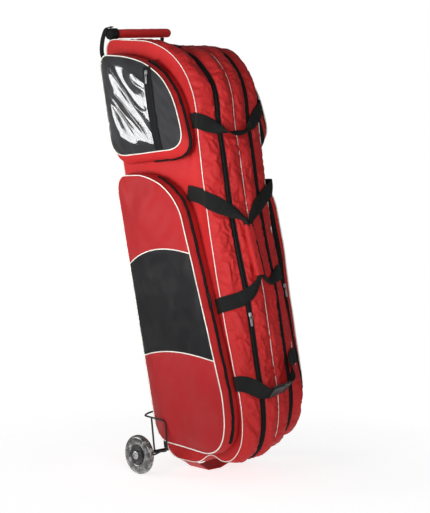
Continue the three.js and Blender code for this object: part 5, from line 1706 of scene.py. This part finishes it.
class FENCINGBAG_OT_sling(bpy.types.Operator):
    """Sling: a band of red cloth that hangs from the bottom's side seams to its sole on the floor"""

    bl_idname = "fencing_bag.sling"
    bl_label = "Sling"

    def execute(self, context):
        x = np.linspace(-SLING_HALF, SLING_HALF, 121)[:, None]
        across = np.linspace(0, 1, 31)[None]
        seam = to_frame(np.column_stack([np.zeros(3), SLING_SEAM])) / MM
        rise = np.maximum(0, np.abs(x) - SOLE_HALF[0]) / (SLING_HALF - SOLE_HALF[0])
        sole_y = SOLE_HALF[1] * (1 - 2 * across)
        seam_y, seam_z = (np.interp(across, (0, 0.5, 1), seam[:, k]) for k in (1, 2))
        soft = rise * (1 - rise) * (9 * noise(x / 30, across * 3, 91) + 5 * noise(x / 14, across * 5, 93))
        y = sole_y + rise * (seam_y - sole_y)
        z = rise * (seam_z - 1.9) + np.maximum(soft, -4 * rise) + 1.3
        points = np.stack([x + 0 * y, y, z], axis=-1)
        cloth = piece("sling_cloth", walled(points, SLING_WALL), finish("red_cloth"),
                      ["sling"], in_frame=True)
        length = np.linalg.norm(np.diff(points, axis=0), axis=-1).sum(axis=0).mean() * MM
        width = np.linalg.norm(np.diff(points, axis=1), axis=-1).sum(axis=1).mean() * MM
        return {"FINISHED"}


class FENCINGBAG_OT_stage(bpy.types.Operator):
    """Stage: a pale floor and surround, soft lights and the camera"""

    bl_idname = "fencing_bag.stage"
    bl_label = "Stage"

    def execute(self, context):
        stage = settings().stage
        self.camera(stage)
        self.floor()
        for *shape, power in LIGHTS:
            self.light(*shape, getattr(stage, power))
        self.surround(stage)
        context.scene.view_settings.view_transform = "Standard"
        return {"FINISHED"}

    def surround(self, stage):
        """A white backdrop that sheds less light than it shows, as a lit wall far behind does."""
        world = bpy.data.worlds.new("studio")
        world.use_nodes = True
        nodes, links = world.node_tree.nodes, world.node_tree.links
        shed = nodes["Background"]
        shed.inputs["Color"].default_value = (1, 1, 1, 1)
        shed.inputs["Strength"].default_value = stage.world_strength
        wall = nodes.new("ShaderNodeBackground")
        wall.inputs["Color"].default_value = (1, 1, 1, 1)
        mix = nodes.new("ShaderNodeMixShader")
        links.new(nodes.new("ShaderNodeLightPath").outputs["Is Camera Ray"], mix.inputs[0])
        links.new(shed.outputs[0], mix.inputs[1])
        links.new(wall.outputs[0], mix.inputs[2])
        links.new(mix.outputs[0], nodes["World Output"].inputs["Surface"])
        bpy.context.scene.world = world

    def camera(self, stage):
        """A camera on a long lens that looks at the middle of the bag from the front left."""
        away = Vector((
            math.sin(stage.azimuth) * math.cos(stage.elevation),
            -math.cos(stage.azimuth) * math.cos(stage.elevation),
            math.sin(stage.elevation),
        ))
        data = bpy.data.cameras.new("camera")
        data.lens = stage.lens
        data.sensor_width = SENSOR_WIDTH
        camera = bpy.data.objects.new("camera", data)
        camera.location = CAMERA_AIM + away * stage.distance
        camera.rotation_euler = (-away).to_track_quat("-Z", "Y").to_euler()
        bpy.context.scene.collection.objects.link(camera)
        bpy.context.scene.camera = camera

    def floor(self):
        """A pale square that glows a little and fades out round its middle into the white surround."""
        made = Finish("pale_floor", roughness=0.8, specular_ior_level=0.1, emission_strength=FLOOR["glow"])
        made.shader.inputs["Emission Color"].default_value = (1, 1, 1, 1)
        cloud = made.noise(made.place("Object"), 3.0)
        made.colour(cloud, (0.3, (0.46, 0.46, 0.46)), (0.7, (0.49, 0.49, 0.49)))
        inputs = {"Vector": made.place("Object")}
        away = made.add("ShaderNodeTexGradient", inputs, gradient_type="SPHERICAL")
        inputs = {"Value": away.outputs[1], "From Min": 0.0, "From Max": FLOOR["fade"]}
        fade = made.add("ShaderNodeMapRange", inputs)
        made.tree.links.new(fade.outputs[0], made.shader.inputs["Alpha"])
        corner = np.array([-FLOOR["half"], FLOOR["half"]], float)
        level = np.full((2, 2), -FLOOR["below"])
        points = np.stack([*np.meshgrid(corner, corner, indexing="ij"), level], axis=-1)
        obj = bpy.data.objects.new("floor", mesh_of("floor", [grid(points)], True))
        obj.data.materials.append(made.material)
        bpy.context.scene.collection.objects.link(obj)

    def light(self, name, place, size, spread, height, power):
        """A square light that aims at a height over the middle of the floor, unseen by the camera."""
        data = bpy.data.lights.new(name, "AREA")
        data.shape = "SQUARE"
        data.size = size
        data.spread = math.radians(spread)
        data.energy = power
        obj = bpy.data.objects.new(name, data)
        obj.location = place
        aim = Vector((0, 0, height)) - Vector(place)
        obj.rotation_euler = aim.to_track_quat("-Z", "Y").to_euler()
        obj.visible_camera = False
        bpy.context.scene.collection.objects.link(obj)


OPERATORS = (
    FENCINGBAG_OT_stage,
    FENCINGBAG_OT_body,
    FENCINGBAG_OT_lower_pockets,
    FENCINGBAG_OT_upper_pockets,
    FENCINGBAG_OT_zips,
    FENCINGBAG_OT_piping,
    FENCINGBAG_OT_straps,
    FENCINGBAG_OT_handle_wrap,
    FENCINGBAG_OT_buckle,
    FENCINGBAG_OT_grip,
    FENCINGBAG_OT_trolley,
    FENCINGBAG_OT_wheels,
    FENCINGBAG_OT_sling,
)


class FENCINGBAG_PT_panel(bpy.types.Panel):
    """Sidebar panel with the bag's settings and the operators that make its pieces"""

    bl_idname = "FENCINGBAG_PT_panel"
    bl_label = "Fencing Bag"
    bl_space_type = "VIEW_3D"
    bl_region_type = "UI"
    bl_category = "Fencing Bag"

    def draw(self, context):
        """A box for each group of settings, then a button for each operator."""
        chosen = context.scene.fencing_bag
        for group in (chosen.sizes, chosen.colours, chosen.stage):
            box = self.layout.box()
            for name in group.__annotations__:
                box.prop(group, name)
        for operator in OPERATORS:
            self.layout.operator(operator.bl_idname)


CLASSES = (BagSizes, BagColours, StageSettings, BagSettings, *OPERATORS, FENCINGBAG_PT_panel)


def register():
    """Adds the classes and the scene's settings."""
    for cls in CLASSES:
        bpy.utils.register_class(cls)
    bpy.types.Scene.fencing_bag = PointerProperty(type=BagSettings)


def unregister():
    """Takes the settings and the classes away again."""
    del bpy.types.Scene.fencing_bag
    for cls in reversed(CLASSES):
        bpy.utils.unregister_class(cls)


def main():
    """Makes every piece in order."""
    register()
    for operator in OPERATORS:
        group, name = operator.bl_idname.split(".")
        getattr(getattr(bpy.ops, group), name)()


if __name__ == "__main__":
    main()
